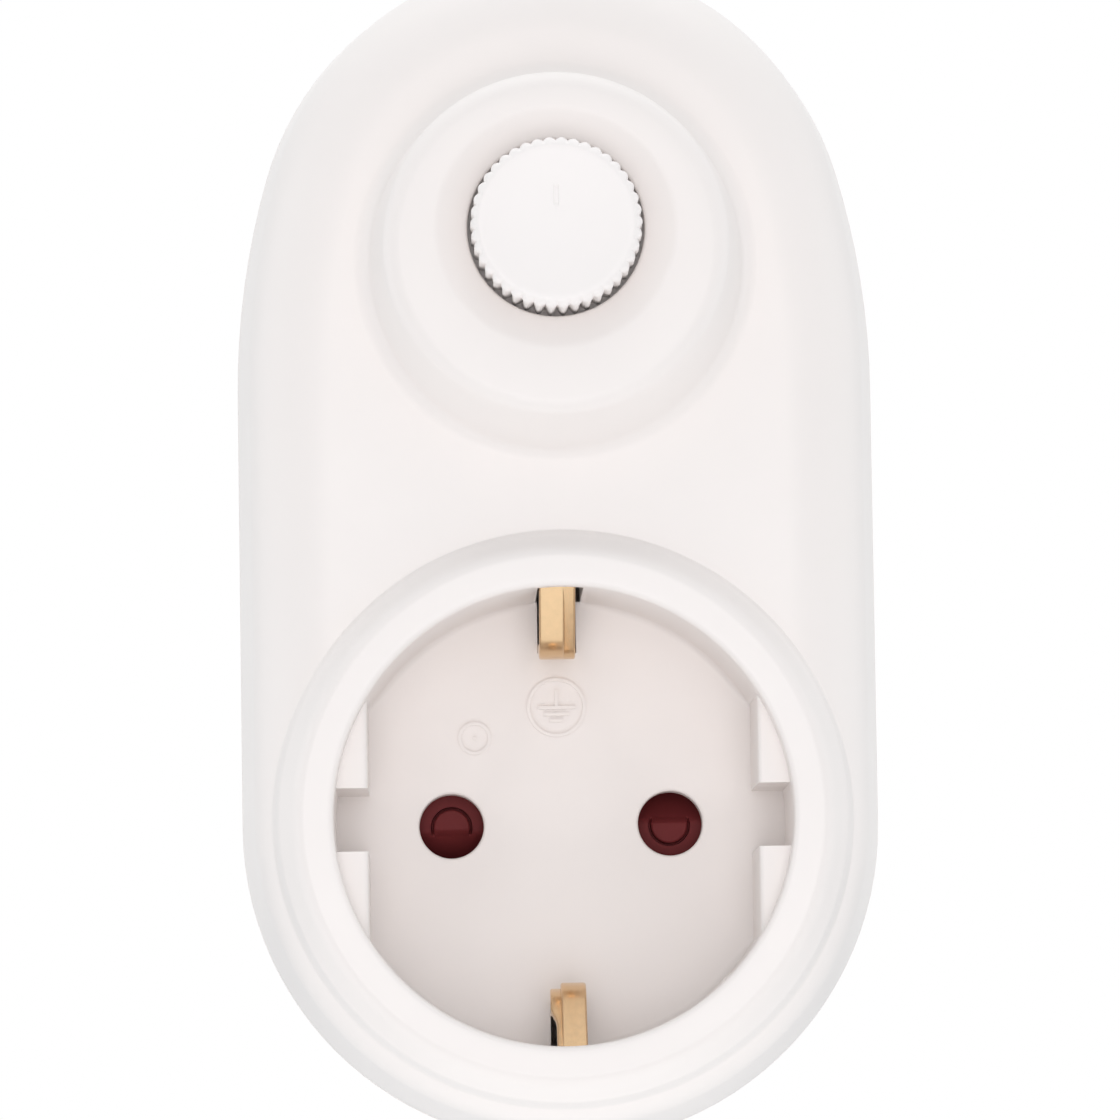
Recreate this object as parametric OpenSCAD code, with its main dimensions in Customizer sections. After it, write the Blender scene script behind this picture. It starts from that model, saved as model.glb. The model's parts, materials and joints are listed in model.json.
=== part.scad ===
// Plug-in rotary dimmer: earthed socket in front, earthed plug behind, knob above.
// It hangs in a wall socket: x to the right, y away from the viewer, z up.
// The origin is on the plug axis, in the end face of the plug.
// Every piece is drawn lying on its back, as (across, up, forward), and stood up by stand().
// Forward distances are counted from the end face of the plug towards the viewer.

/* [Housing] */
// Width of the housing
body_w = 55.4; // [54.6:0.2:62]
// Height of the knob axis above the socket axis
knob_rise = 49.8; // [47:0.1:58]
// Radius of the round top end, about the knob axis
crown_r = 26; // [25:0.25:27]
// Wall of both shells
wall = 2.2; // [1.8:0.1:2.6]
// Depth of the front shell, parting line to front face
front_h = 16.5; // [15.5:0.5:20]
// Depth of the rear shell, rear face to parting line
rear_h = 24.5; // [23:0.5:32]
// Rounding of the front edge
edge_r = 7; // [5:0.5:7.5]
// Rounding of the rear edge
rear_edge_r = 2.5; // [2.3:0.1:4]
// Draft of the front shell's sides, degrees
front_draft = 7; // [2:0.5:9]
// Draft of the rear shell's sides, degrees
rear_draft = 2; // [0.5:0.5:3]
// Height of the tongue that centres the shells
lip_h = 1.5; // [1:0.1:2.5]
// Thickness of the tongue
lip_t = 1; // [0.7:0.1:1.2]

/* [Socket] */
// Distance between the pin centres, in the socket and on the plug
pin_gap = 19; // [18:0.5:20]
// Diameter of the pin holes
hole_d = 5.6; // [5.2:0.1:6]
// Diameter of the socket well
well_d = 39; // [38.5:0.1:40]
// Depth of the socket well, rim to floor
well_depth = 17.5; // [16.5:0.1:18]
// Wall of the well
well_wall = 1.8; // [1.5:0.1:2]
// Thickness of the floor
floor_t = 2.5; // [2:0.1:3]
// Height of the collar above the front face
collar_h = 3; // [2:0.25:4]
// Width of the collar's flat top
collar_top_w = 3.1; // [2.5:0.1:3.4]
// Width of the collar's outer slope
collar_slope_w = 1.8; // [1:0.1:2]
// Rounding of the collar's outer edge
collar_round = 0.9; // [0.5:0.1:1.2]
// Rounding of the well's mouth
mouth_round = 0.5; // [0.3:0.1:0.8]
// Distance between the flat cheeks
cheek_gap = 33.2; // [32.6:0.1:34]
// Depth of the cheek tops below the rim
cheek_drop = 3; // [2:0.25:5]
// Height of the notch in each cheek
notch_h = 5.4; // [4.5:0.1:6.5]

/* [Knob] */
// Height of the boss above the front face
boss_h = 6; // [4:0.25:7]
// Diameter of the boss at the front face
boss_base_d = 32.2; // [30.5:0.1:33]
// Diameter of the boss's plateau
boss_top_d = 29; // [27:0.1:30]
// How far the boss's foot is centred below the knob axis
boss_base_drop = 2.6; // [0:0.1:3]
// How far the plateau is centred below the knob axis
boss_top_drop = 1.1; // [0:0.1:1.5]
// Rounding of the plateau's shoulder
boss_round = 1.4; // [0.6:0.1:2]
// Diameter of the dish round the knob
dish_d = 20.4; // [18:0.2:22]
// Depth of the dish
dish_depth = 1; // [0.5:0.1:1.4]
// Diameter of the knob over its teeth
knob_d = 14.4; // [13:0.1:15]
// Gap between the knob and its hole
knob_gap = 0.32; // [0.3:0.02:0.6]
// Number of teeth round the knob
knob_teeth = 42; // [30:1:50]
// Depth of the teeth
tooth_h = 0.4; // [0.3:0.05:0.8]
// How far the knob's face stands above the plateau
knob_stand = 3.3; // [2.5:0.1:5]
// Rounding of the knob's edge
knob_round = 1; // [0.6:0.1:1.6]
// Depth of the hollow in the knob's face
knob_hollow = 0.3; // [0.2:0.05:0.6]
// Length of the knob below its hole
knob_skirt = 4.7; // [3.5:0.1:5.5]
// Diameter of the potentiometer shaft
shaft_d = 6; // [5.6:0.1:6.4]

/* [Plug] */
// Diameter of the plug body
plug_d = 37.2; // [36:0.1:38]
// Length of the plug body
plug_l = 17.5; // [16.5:0.1:19]
// Distance between the plug body's flat sides
plug_flat_w = 32.6; // [31:0.1:33]
// Height of the guide rib on each flat side
rib_h = 4.8; // [4:0.1:5]
// Diameter of the plug pins
pin_d = 4.8; // [4:0.1:4.9]
// Length of the plug pins
pin_l = 19; // [17:0.1:20]
// Thickness of the plug's end wall
plug_end_t = 4; // [3:0.25:5]

/* [Earth strips] */
// Thickness of the strips
strip_t = 0.8; // [0.6:0.1:1]
// Width of the strips beside the plug
strip_w = 5; // [4:0.1:6]
// Width of the clips in the socket well
clip_w = 3.1; // [2.6:0.1:3.4]
// Gap between the two clips
clip_gap = 27.8; // [27:0.1:29]
// Distance between the outer faces of the plug's earth contacts
contact_gap = 31.6; // [30.5:0.1:32]
// Width of the slots that the clips stand in
clip_slot_w = 3.9; // [3.6:0.1:4.6]

/* [Shutter] */
// Thickness of the shutter
shutter_t = 2.4; // [2:0.1:2.8]
// Width of the shutter's arms
shutter_w = 7.4; // [6.8:0.1:8]
// Gap in front of the shutter and behind it
shutter_gap = 0.6; // [0.5:0.05:0.8]
// Diameter of the shutter's pivot post
pivot_d = 4; // [3:0.1:4.4]
// Wire of the shutter spring
spring_wire = 0.5; // [0.4:0.05:0.6]
// Turns of the shutter spring
spring_turns = 3; // [2:0.5:3]

/* [Board] */
// Thickness of the circuit board
board_t = 1.6; // [1:0.1:2]
// Distance of the board's rear face behind the parting line
board_drop = 3.6; // [2:0.1:4]
// Gap between the board's edge and the housing's outside
board_inset = 4.2; // [3.6:0.1:5]
// Height of the board's lower edge above the socket axis
board_low = 24.5; // [24:0.25:26]
// Diameter of the leads over their insulation
lead_d = 2; // [1.4:0.1:2.2]

/* [Screws] */
// Diameter of the housing screws
screw_d = 3; // [2.5:0.1:3.2]
// Length of the housing screws under the head
screw_l = 16; // [14:0.5:17]
// Diameter of the housing screws' heads
screw_head_d = 5.6; // [5:0.1:5.8]

/* [Hidden] */
$fn = 96;

// Clearances: a seat, a running fit and room to swing past
seat = 0.02;
running = 0.05;
clear = 0.3;
// Overlap of a cutter past the face that it opens
over = 1;

// Forward stations
rear_face = plug_l;
parting = rear_face + rear_h;
front_face = parting + front_h;
rim = front_face + collar_h;
well_floor = rim - well_depth;
floor_back = well_floor - floor_t;
plateau = front_face + boss_h;
knob_face = plateau + knob_stand;
knob_bottom = plateau - dish_depth - knob_skirt;
board_back = parting - board_drop;
board_front = board_back + board_t;
rear_inside = rear_face + wall;

// Outline: lower half circle, straight sides, two shoulder arcs and the crown.
// Shoulder and crown meet on the slope of a 7-24-25 triangle, which fixes the shoulder's radius and start.
half_w = body_w / 2;
shoulder_angle = atan2(7, 24);
shoulder_r = 25 * half_w - 24 * crown_r;
spring_line = knob_rise - 7 * (half_w - crown_r);
// The outline's band holds the draft and the rounded edge; a flat core fills it
band_w = edge_r + 6;
core_inset = edge_r + 3;
// How far a side stops short of the arc that it leads into
graze = 0.002;

// Socket and collar
well_r = well_d / 2;
collar_top_r = well_r + collar_top_w;
collar_base_r = collar_top_r + collar_slope_w;
collar_slope = atan2(collar_slope_w, collar_h);
collar_foot = edge_r * 0.6;
// Raised marks on the floor: earth sign in a ring, as bars of [height, half width], and an ejector pin's ring
line_w = 0.24;
line_h = 0.15;
earth_at = [-0.25, 10.2];
earth_ring_r = 2.43;
earth_bars = [[0, 1.65], [-0.58, 1.12], [-1.12, 0.6]];
earth_stem = 1.5;
ejector_at = [-7.4, 7.6];
ejector_r = 1.3;

// Boss: apex, lean and half angle of the cone through its foot and its plateau
boss_apex = boss_h * boss_base_d / (boss_base_d - boss_top_d);
boss_apex_up = knob_rise - boss_base_drop + boss_apex * (boss_base_drop - boss_top_drop) / boss_h;
boss_side_low = atan2(boss_apex_up - knob_rise + boss_base_drop + boss_base_d / 2, boss_apex);
boss_side_high = atan2(boss_apex_up - knob_rise + boss_base_drop - boss_base_d / 2, boss_apex);
boss_lean = (boss_side_low + boss_side_high) / 2;
boss_half_angle = (boss_side_low - boss_side_high) / 2;
boss_cone_far = boss_apex + boss_base_d / 4;
boss_cone_near = boss_apex - boss_h - boss_base_d / 4;
boss_flat_r = boss_top_d / 2 - boss_round * 0.6;

// Knob and potentiometer
knob_r = knob_d / 2;
knob_hole_r = knob_r + knob_gap;
boss_room_r = knob_hole_r + 3;
mark_w = 0.4;
mark_l = 1.8;
mark_depth = 0.2;
flange_r = knob_hole_r + 1;
flange_top = plateau - 1.5 * wall;
flange_t = 1.2;
shaft_r = shaft_d / 2;
shaft_flat = shaft_r * 0.75;
shaft_top = knob_face - 2.8;
pot_r = 8.5;
pot_top = board_front + 7.5;
pot_lid = 1.2;
pot_room_r = pot_r - 1.8;
rotor_back = board_front + 3;
rotor_t = 1.5;
bush_h = 6.5;
bush_r = shaft_r + 0.9;

// Plug
plug_r = plug_d / 2;
plug_chamfer = 1;
pin_r = pin_d / 2;
pin_root_r = pin_r + 0.3;
pin_head_r = pin_r + 1.1;
pin_head_t = 1.5;
pin_tail_r = 1.6;
pin_tail = plug_end_t + pin_head_t + 6;
strip_seat = contact_gap / 2 - strip_t;
plug_room_up = strip_seat - wall;
plug_room_x = plug_flat_w / 2 - wall;

// Shutter, carrier and contacts
carrier_front = floor_back - 2 * shutter_gap - shutter_t;
carrier_t = 14.5;
carrier_back = carrier_front - carrier_t;
carrier_up = 6.4;
carrier_lid = 1.2;
chamber_r = hole_d / 2 + 1.1;
carrier_x = pin_gap / 2 + chamber_r + 1.2;
contact_t = 0.8;
contact_slit = 0.6;
contact_r = chamber_r - running;
contact_front = carrier_front - carrier_lid;
contact_l = carrier_t - carrier_lid - 1;
contact_tail = contact_front - contact_l;
post_x = 7.4;
post_up = 9.8;
post_r = 2.6;
ear_t = 3;
ear_r = post_r + 0.6;
pivot_r = pivot_d / 2;
hub_r = pivot_r + 1.6;
ramp_r = 2.6;
disc_r = hole_d / 3;
disc_groove = 0.35;
spring_r = hub_r - spring_wire / 2;
spring_pitch = spring_wire + 0.45;
spring_h = spring_turns * spring_pitch + spring_wire;
spring_room = carrier_front - spring_h - 2 * clear;

// Earth clips: radius of the contact hump, its station and the lead-in's end
clip_r = 2.4;
clip_peak = rim - 10;
clip_end = rim - 3.4;
clip_end_up = well_r + well_wall - 1.6 * strip_t - clear;
// Each clip stands a little beside the middle of its slot; a wing on one side is set back from its face
clip_aside = 0.25;
clip_play = 0.15;
wing_w = clip_w * 0.3;
wing_set = 0.5;

// Screws
head_r = screw_head_d / 2;
head_bore_r = head_r + clear;
head_h = 2.2;
cross_w = 0.8;
tower_r = head_bore_r + 1.1;
boss_r = screw_d / 2 + 1.4;
// The upper towers stand inside the crown's wall, about 34 degrees up
tower_gap = 0.9;
upper_screw_r = crown_r - wall - tower_r - tower_gap;
upper_screw_x = 0.83 * upper_screw_r;
upper_screw_up = knob_rise + 0.56 * upper_screw_r;
lower_screw_xy = (plug_r + head_bore_r + 0.6) * sqrt(0.5);
upper_seat = board_back - 8;
lower_seat = parting - 8;
// The lower towers end where the well's floor begins
lower_joint = min(parting, floor_back);
small_screw_r = 1.1;
small_screw_l = 5.5;
small_head_r = 2;
small_head_t = 1.4;

// Parts on the board's rear face: places as [across, up], boxes as [across, up, height]
sink_up = knob_rise + 14;
sink_size = [21, 1.5, 14];
sink_flange = 4;
triac_size = [10, 4.4, 9];
triac_tab_t = 1.3;
triac_leg = 0.8;
triac_leg_l = 3;
triac_pitch = 2.54;
cap_at = [-9.5, knob_rise - 3.5];
cap_size = [10, 18, 13];
fuse_up = board_low + 4.7;
choke_at = [8.6, fuse_up + 16.1];
choke_out_r = 7.6;
choke_in_r = 4;
choke_h = 6;
winding_t = 1.4;
small_cap_at = [-14.2, fuse_up + 2.8];
small_cap_size = [7, 3.2, 7];
resistors_at = [[0, knob_rise + 7.7], [10, fuse_up + 4.6]];
resistor_r = 1.2;
resistor_l = 6.4;
diac_at = [-1.5, fuse_up + 4.3];
diac_r = 1;
diac_l = 4;
leg_r = 0.35;
leg_run = 2;
leg_h = 0.4;
fuse_drop = 4.6;
fuse_r = 2.5;
fuse_l = 20;
fuse_wall = 0.6;
cap_wall = 0.3;
fuse_cap_l = 5;
fuse_clip_w = 3.6;
fuse_clip_t = 0.5;
fuse_foot = 1.6;

// Leads: live from the left pin to the board, load from there to the left contact, neutral straight across
pin_x = pin_gap / 2;
lead_pass = rear_inside + lead_d * 0.85;
board_side = half_w - board_inset;
live_end = [10.5 - board_side, board_low + 2];
load_end = [6.5 - board_side, board_low + 2];
live_route = [
  [-pin_x, 0, pin_tail],
  [-pin_x, 0, pin_tail + 2.5],
  [-pin_x, 3, lead_pass - 4],
  [-pin_x, 8, lead_pass - 0.8],
  [-pin_x, 13, lead_pass],
  [live_end[0] + 1.5, 18, lead_pass + 2],
  [live_end[0], 23, lead_pass + 7],
  [live_end[0], live_end[1], board_back - 5],
  [live_end[0], live_end[1], board_back]
];
load_route = [
  [-pin_x, 0, contact_tail],
  [-pin_x, 0, contact_tail - 1.2],
  [-pin_x - 2, 1.5, lead_pass + 0.6],
  [-pin_x - 5, 5, lead_pass + 0.4],
  [load_end[0], 10, lead_pass + 1.5],
  [load_end[0] - 0.5, 16, lead_pass + 4.5],
  [load_end[0], 22, lead_pass + 9],
  [load_end[0], load_end[1], board_back - 4],
  [load_end[0], load_end[1], board_back]
];
neutral_route = [[pin_x, 0, pin_tail], [pin_x, 0, contact_tail]];

// Upright on the wall
module stand() rotate([90, 0, 0]) children();

// Both pin positions
module at_pins() for (side = [-1, 1]) translate([side * pin_x, 0, 0]) children();

module at_upper_screws() for (side = [-1, 1])
  translate([side * upper_screw_x, upper_screw_up, 0]) children();

module at_lower_screws() for (side = [-1, 1])
  translate([side * lower_screw_xy, -lower_screw_xy, 0]) children();

// Both carrier posts, clear of the shutter's sweep
module at_posts() for (side = [-1, 1]) translate([side * post_x, side * post_up, 0]) children();

// Upright cylinder from one forward station to another
module round_bar(r, from, to) translate([0, 0, from]) cylinder(r = r, h = to - from);

// Half section of a moulded edge with its foot at x = 0: drafted side, rounded edge if any, flat face
module edge_section(w, h, draft, round_r) {
  cy = h - round_r;
  cx = -cy * tan(draft) - round_r / cos(draft);
  if (round_r > 0) {
    polygon([[-w, 0], [0, 0], [cx, cy] + (round_r - graze) * [cos(draft), sin(draft)], [cx, h], [-w, h]]);
    translate([cx, cy]) circle(round_r);
  } else {
    polygon([[-w, 0], [0, 0], [cx, h], [-w, h]]);
  }
}

// Points of an arc from one angle to another
function arc(centre, r, from, to, steps) =
  [for (k = [0:steps]) let (a = from + (to - from) * k / steps) centre + r * [cos(a), sin(a)]];

// Solid of the housing outline, inset all round, with the section's draft and edge
module body(inset, h, draft, round_r) {
  module section(r) translate([r - inset, 0]) edge_section(band_w - inset, h, draft, round_r);
  module below_slope(r) rotate([0, 0, shoulder_angle]) translate([0, -r, -over])
    cube([r + over, r, h + 2 * over]);
  rotate([0, 0, 180]) rotate_extrude(angle = 180) section(half_w);
  for (side = [0, 1]) mirror([side, 0, 0]) {
    translate([0, spring_line, 0]) rotate([90, 0, 0]) linear_extrude(spring_line) section(half_w);
    translate([half_w - shoulder_r, spring_line, 0]) intersection() {
      rotate_extrude(angle = 90) section(shoulder_r);
      below_slope(shoulder_r);
    }
  }
  translate([0, knob_rise, 0]) difference() {
    rotate_extrude(angle = 180) section(crown_r);
    for (side = [0, 1]) mirror([side, 0, 0]) below_slope(crown_r);
  }
  linear_extrude(h) polygon(concat(
    arc([0, 0], half_w - core_inset, 180, 360, 12),
    [[half_w - core_inset, spring_line]],
    arc([0, knob_rise], crown_r - core_inset, shoulder_angle, 180 - shoulder_angle, 12),
    [[core_inset - half_w, spring_line]]
  ));
}

// Straight-sided plate of the housing outline
module outline_plate(inset, h) body(inset, h, 0, 0);

module front_body() translate([0, 0, parting]) body(0, front_h, front_draft, edge_r);

module front_room() translate([0, 0, parting]) body(wall, front_h - wall, front_draft, edge_r - wall);

// Tongue of the rear shell, or with play the groove that takes it
module lip(play) translate([0, 0, parting]) difference() {
  outline_plate(wall - lip_t - play, lip_h + play);
  translate([0, 0, -over]) outline_plate(wall + play, lip_h + play + 2 * over);
}

// Collar round the well, with a steep foot that runs down into the rounded edge
module collar() {
  translate([0, 0, front_face]) rotate_extrude() translate([collar_base_r, 0])
    edge_section(collar_base_r, collar_h, collar_slope, collar_round);
  translate([0, 0, front_face - collar_foot])
    cylinder(r1 = collar_base_r + collar_foot * tan(front_draft), r2 = collar_base_r, h = collar_foot);
}

// Boss round the knob: a leaning cone, steep above and sloped below, with a bevelled flat top
module boss() intersection() {
  translate([0, boss_apex_up, front_face + boss_apex]) rotate([-boss_lean, 0, 0])
    translate([0, 0, -boss_cone_far]) cylinder(
      r1 = boss_cone_far * tan(boss_half_angle),
      r2 = boss_cone_near * tan(boss_half_angle),
      h = boss_cone_far - boss_cone_near
    );
  translate([0, knob_rise - boss_top_drop, front_face - wall / 2])
    cylinder(r1 = boss_flat_r + boss_h + wall / 2, r2 = boss_flat_r, h = boss_h + wall / 2);
}

// What is cut out of the well: bore, rounded mouth, clip slots and pin holes
module well_cut() {
  round_bar(well_r, well_floor, rim + over);
  rotate_extrude() translate([well_r, rim - mouth_round]) difference() {
    square([mouth_round, mouth_round + over]);
    translate([mouth_round, 0]) circle(mouth_round);
  }
  translate([-clip_slot_w / 2, -well_r - well_wall, well_floor])
    cube([clip_slot_w, 2 * (well_r + well_wall), well_depth - mouth_round - 1]);
  for (turn = [0, 180]) rotate([0, 0, turn])
    translate([-clip_w / 2 - clip_aside - clip_play, strip_seat - clear, floor_back - over])
      cube([clip_w + 2 * clip_play, well_r + well_wall - strip_seat + clear, floor_t + 2 * over]);
  at_pins() round_bar(hole_d / 2, floor_back - over, well_floor + over);
}

// Flat cheeks beside the pins, each with a notch down to the floor
module cheeks() difference() {
  intersection() {
    round_bar(well_r + well_wall / 2, well_floor - floor_t / 2, rim - cheek_drop);
    for (side = [0, 1]) mirror([side, 0, 0]) translate([cheek_gap / 2, -well_r, well_floor - floor_t])
      cube([well_r, 2 * well_r, well_depth + floor_t]);
  }
  translate([-well_r - over, -notch_h / 2, well_floor]) cube([2 * (well_r + over), notch_h, well_depth]);
}

// Earth sign and ejector ring on the well's floor
module ring_line(r) difference() {
  circle(r + line_w / 2);
  circle(r - line_w / 2);
}

module floor_marks() translate([0, 0, well_floor - floor_t / 4]) linear_extrude(floor_t / 4 + line_h) {
  translate(earth_at) {
    ring_line(earth_ring_r);
    for (bar = earth_bars) translate([-bar[1], bar[0] - line_w / 2]) square([2 * bar[1], line_w]);
    translate([-line_w / 2, 0]) square([line_w, earth_stem]);
  }
  translate(ejector_at) ring_line(ejector_r);
}

module front_shell() color("#f1edec") {
  floor_marks();
  difference() {
    union() {
      difference() {
        union() {
          front_body();
          collar();
          boss();
        }
        front_room();
        translate([0, knob_rise, 0]) {
          round_bar(boss_room_r, front_face - 2 * wall, plateau - wall);
          round_bar(knob_hole_r, front_face, plateau + over);
          translate([0, 0, plateau - dish_depth])
            cylinder(r1 = knob_hole_r, r2 = dish_d / 2, h = dish_depth);
        }
      }
      round_bar(well_r + well_wall, floor_back, front_face);
      intersection() {
        front_body();
        union() {
          at_lower_screws() round_bar(boss_r, parting, front_face);
          at_upper_screws() round_bar(boss_r, parting, front_face);
        }
      }
      at_lower_screws() round_bar(boss_r, lower_joint, parting + over);
      at_upper_screws() round_bar(boss_r, board_front, parting + over);
      at_posts() round_bar(post_r, carrier_front, floor_back + floor_t / 2);
      round_bar(pivot_r, carrier_front - carrier_lid, floor_back + floor_t / 2);
    }
    well_cut();
    lip(running);
    at_lower_screws() round_bar(screw_d / 2 + seat, lower_joint - over, lower_seat + screw_l + over);
    at_upper_screws() round_bar(screw_d / 2 + seat, board_front - over, upper_seat + screw_l + over);
    at_posts()
      round_bar(small_screw_r + seat, carrier_front - over, carrier_front + small_screw_l - ear_t + clear);
  }
  cheeks();
}

// Outline of the plug body: round, with two flats and a guide rib on each flat
module plug_outline() {
  intersection() {
    circle(plug_r);
    square([plug_flat_w, plug_d], center = true);
  }
  intersection() {
    circle(plug_r);
    square([plug_d, rib_h], center = true);
  }
}

module plug_body() intersection() {
  linear_extrude(rear_face + wall) plug_outline();
  rotate_extrude() polygon([
    [0, 0],
    [plug_r - plug_chamfer, 0],
    [plug_r, plug_chamfer],
    [plug_r, rear_face + wall],
    [0, rear_face + wall]
  ]);
}

// Room inside the plug, open to the housing
module plug_room() translate([0, 0, plug_end_t]) linear_extrude(rear_face + wall - plug_end_t + over)
  intersection() {
    circle(plug_r - wall);
    square([2 * plug_room_x, 2 * plug_room_up], center = true);
  }

// Outside of the rear half, or its room where it is inset by the wall
module rear_body(inset, round_r) translate([0, 0, parting]) mirror([0, 0, 1])
  body(inset, rear_h - inset, rear_draft, round_r);

// Head bore and shank hole of a screw tower
module tower_cut(seat_at, to) {
  round_bar(head_bore_r, rear_face - over, seat_at);
  round_bar(screw_d / 2 + clear, seat_at - over, to + over);
}

module rear_shell() color("#efebea") difference() {
  union() {
    difference() {
      rear_body(0, rear_edge_r);
      rear_body(wall, rear_edge_r / 4);
    }
    lip(0);
    plug_body();
    at_lower_screws() round_bar(tower_r, rear_inside - wall / 2, lower_joint);
    at_upper_screws() round_bar(tower_r, rear_inside - wall / 2, board_back);
  }
  plug_room();
  at_pins() round_bar(pin_root_r + seat, -over, plug_end_t + over);
  at_lower_screws() tower_cut(lower_seat, lower_joint);
  at_upper_screws() tower_cut(upper_seat, board_back);
  for (side = [0, 1]) mirror([0, side, 0]) {
    translate([-strip_w / 2 - clear, strip_seat, plug_chamfer])
      cube([strip_w + 2 * clear, plug_r, rear_face - plug_chamfer]);
    translate([-strip_w / 2 - clear, strip_seat, rear_face - over])
      cube([strip_w + 2 * clear, strip_t + clear, wall + 2 * over]);
  }
}

// Outline of the knob: one rib with a narrow crest for each tooth
function knob_point(i, share, r) = let (a = 360 * (i + share) / knob_teeth) [r * cos(a), r * sin(a)];

module knob_outline() polygon([
  for (i = [0:knob_teeth - 1]) each [
    knob_point(i, 0, knob_r - tooth_h),
    knob_point(i, 0.36, knob_r),
    knob_point(i, 0.64, knob_r)
  ]
]);

// Round section that the knob's ribs are turned to: rounded edge and hollowed face
module knob_section() {
  hollow_r = knob_r - knob_round - 0.2;
  hollow_ball = (hollow_r * hollow_r + knob_hollow * knob_hollow) / (2 * knob_hollow);
  h = knob_face - knob_bottom;
  difference() {
    translate([knob_r + running, 0]) edge_section(knob_r + running, h, 0, knob_round);
    translate([0, h + hollow_ball - knob_hollow]) circle(hollow_ball, $fn = 360);
  }
}

// Shaft section: round with a flat on top
module shaft_section(play) intersection() {
  circle(shaft_r + play);
  translate([-shaft_d, -shaft_d]) square([2 * shaft_d, shaft_d + shaft_flat + play]);
}

// Knob: ribs, a flange that holds it behind the dish, a hole for the shaft and an index mark
module dimmer_knob() color("#f4f2f0") translate([0, knob_rise, knob_bottom]) difference() {
  union() {
    intersection() {
      linear_extrude(knob_face - knob_bottom) knob_outline();
      rotate_extrude() knob_section();
    }
    round_bar(flange_r, flange_top - flange_t - knob_bottom, flange_top - knob_bottom);
  }
  translate([0, 0, -over]) linear_extrude(shaft_top - knob_bottom + over + seat) shaft_section(seat);
  translate([-mark_w / 2, knob_r / 5, knob_face - knob_bottom - mark_depth - knob_hollow])
    cube([mark_w, mark_l, mark_depth + knob_hollow + over]);
}

module pot_shaft() color("#d8d4c8") translate([0, knob_rise, 0]) {
  round_bar(shaft_r, rotor_back, knob_bottom);
  translate([0, 0, knob_bottom - seat]) linear_extrude(shaft_top - knob_bottom + seat) shaft_section(0);
  round_bar(pot_room_r - clear, rotor_back, rotor_back + rotor_t);
}

module pot_housing() color("#3c3f45") translate([0, knob_rise, 0]) difference() {
  round_bar(pot_r, board_front, pot_top);
  round_bar(pot_room_r, rotor_back - clear, pot_top - pot_lid);
  round_bar(shaft_r + running, rotor_back, pot_top + over);
}

module pot_bush() color("#c9a24a") translate([0, knob_rise, 0]) difference() {
  round_bar(bush_r, pot_top, pot_top + bush_h);
  round_bar(shaft_r + running, pot_top - over, pot_top + bush_h + over);
}

module circuit_board() color("#b08a4a") difference() {
  intersection() {
    translate([0, 0, board_back]) outline_plate(board_inset, board_t);
    translate([-half_w, board_low, board_back - over]) cube([body_w, body_w + knob_rise, board_t + 2 * over]);
  }
  at_upper_screws() round_bar(screw_d / 2 + clear, board_back - over, board_front + over);
}

// A part that stands on the board's rear face, drawn upwards from it
module on_board(at) translate([at[0], at[1], board_back]) mirror([0, 0, 1]) children();

// Box with rounded upright edges
module rounded_box(size, r) linear_extrude(size[2]) {
  square([size[0] - 2 * r, size[1]], center = true);
  square([size[0], size[1] - 2 * r], center = true);
  for (sx = [-1, 1], sy = [-1, 1]) translate([sx * (size[0] / 2 - r), sy * (size[1] / 2 - r)]) circle(r);
}

// Plate with a flange bent over at its far end
module heat_sink() color("#b9bdc2") on_board([0, sink_up]) translate([-sink_size[0] / 2, 0, 0]) {
  cube(sink_size);
  translate([0, 0, sink_size[2] - sink_size[1]]) cube([sink_size[0], sink_flange, sink_size[1]]);
}

// Moulded body and thin tab against the heat sink, on three legs
module triac() color("#2c2d30") on_board([0, sink_up]) {
  tab_l = sink_size[2] - sink_size[1] - triac_leg_l - triac_size[2];
  translate([-triac_size[0] / 2, -triac_size[1], triac_leg_l]) cube(triac_size);
  translate([-triac_size[0] / 2, -triac_tab_t, triac_leg_l + triac_size[2] - seat])
    cube([triac_size[0], triac_tab_t, tab_l]);
  for (i = [-1:1]) translate([i * triac_pitch - triac_leg / 2, -(triac_size[1] + triac_leg) / 2, 0])
    cube([triac_leg, triac_leg, triac_leg_l + seat]);
}

module choke_core() color("#5b5f52") on_board(choke_at) translate([0, 0, winding_t]) difference() {
  cylinder(r = choke_out_r, h = choke_h);
  translate([0, 0, -over]) cylinder(r = choke_in_r, h = choke_h + 2 * over);
}

// Winding: one sleeve round the core, open for a sixth of the turn
module choke_winding() color("#b5673a") on_board(choke_at) rotate([0, 0, 30]) rotate_extrude(angle = 300)
  difference() {
    translate([choke_in_r - winding_t, 0])
      square([choke_out_r - choke_in_r + 2 * winding_t, choke_h + 2 * winding_t]);
    translate([choke_in_r - seat, winding_t - seat])
      square([choke_out_r - choke_in_r + 2 * seat, choke_h + 2 * seat]);
  }

module suppression_capacitor() color("#d9c25a") on_board(cap_at) rounded_box(cap_size, 0.8);

module timing_capacitor() color("#7c2f2a") on_board(small_cap_at) rounded_box(small_cap_size, 0.6);

// Axial part: body, wire through it and two legs down to the board
module axial_part(r, l) {
  translate([0, 0, r + leg_h]) rotate([0, 90, 0]) {
    cylinder(r = r, h = l, center = true);
    cylinder(r = leg_r, h = l + 2 * leg_run, center = true);
  }
  for (side = [-1, 1]) translate([side * (l / 2 + leg_run), 0, 0]) {
    cylinder(r = leg_r, h = r + leg_h);
    translate([0, 0, r + leg_h]) sphere(leg_r);
  }
}

module resistors() color("#c8b48c") for (at = resistors_at) on_board(at) axial_part(resistor_r, resistor_l);

module diac() color("#4a6f9c") on_board(diac_at) axial_part(diac_r, diac_l);

module fuse_along() on_board([0, fuse_up]) translate([0, 0, fuse_drop]) rotate([0, 90, 0]) children();

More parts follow.
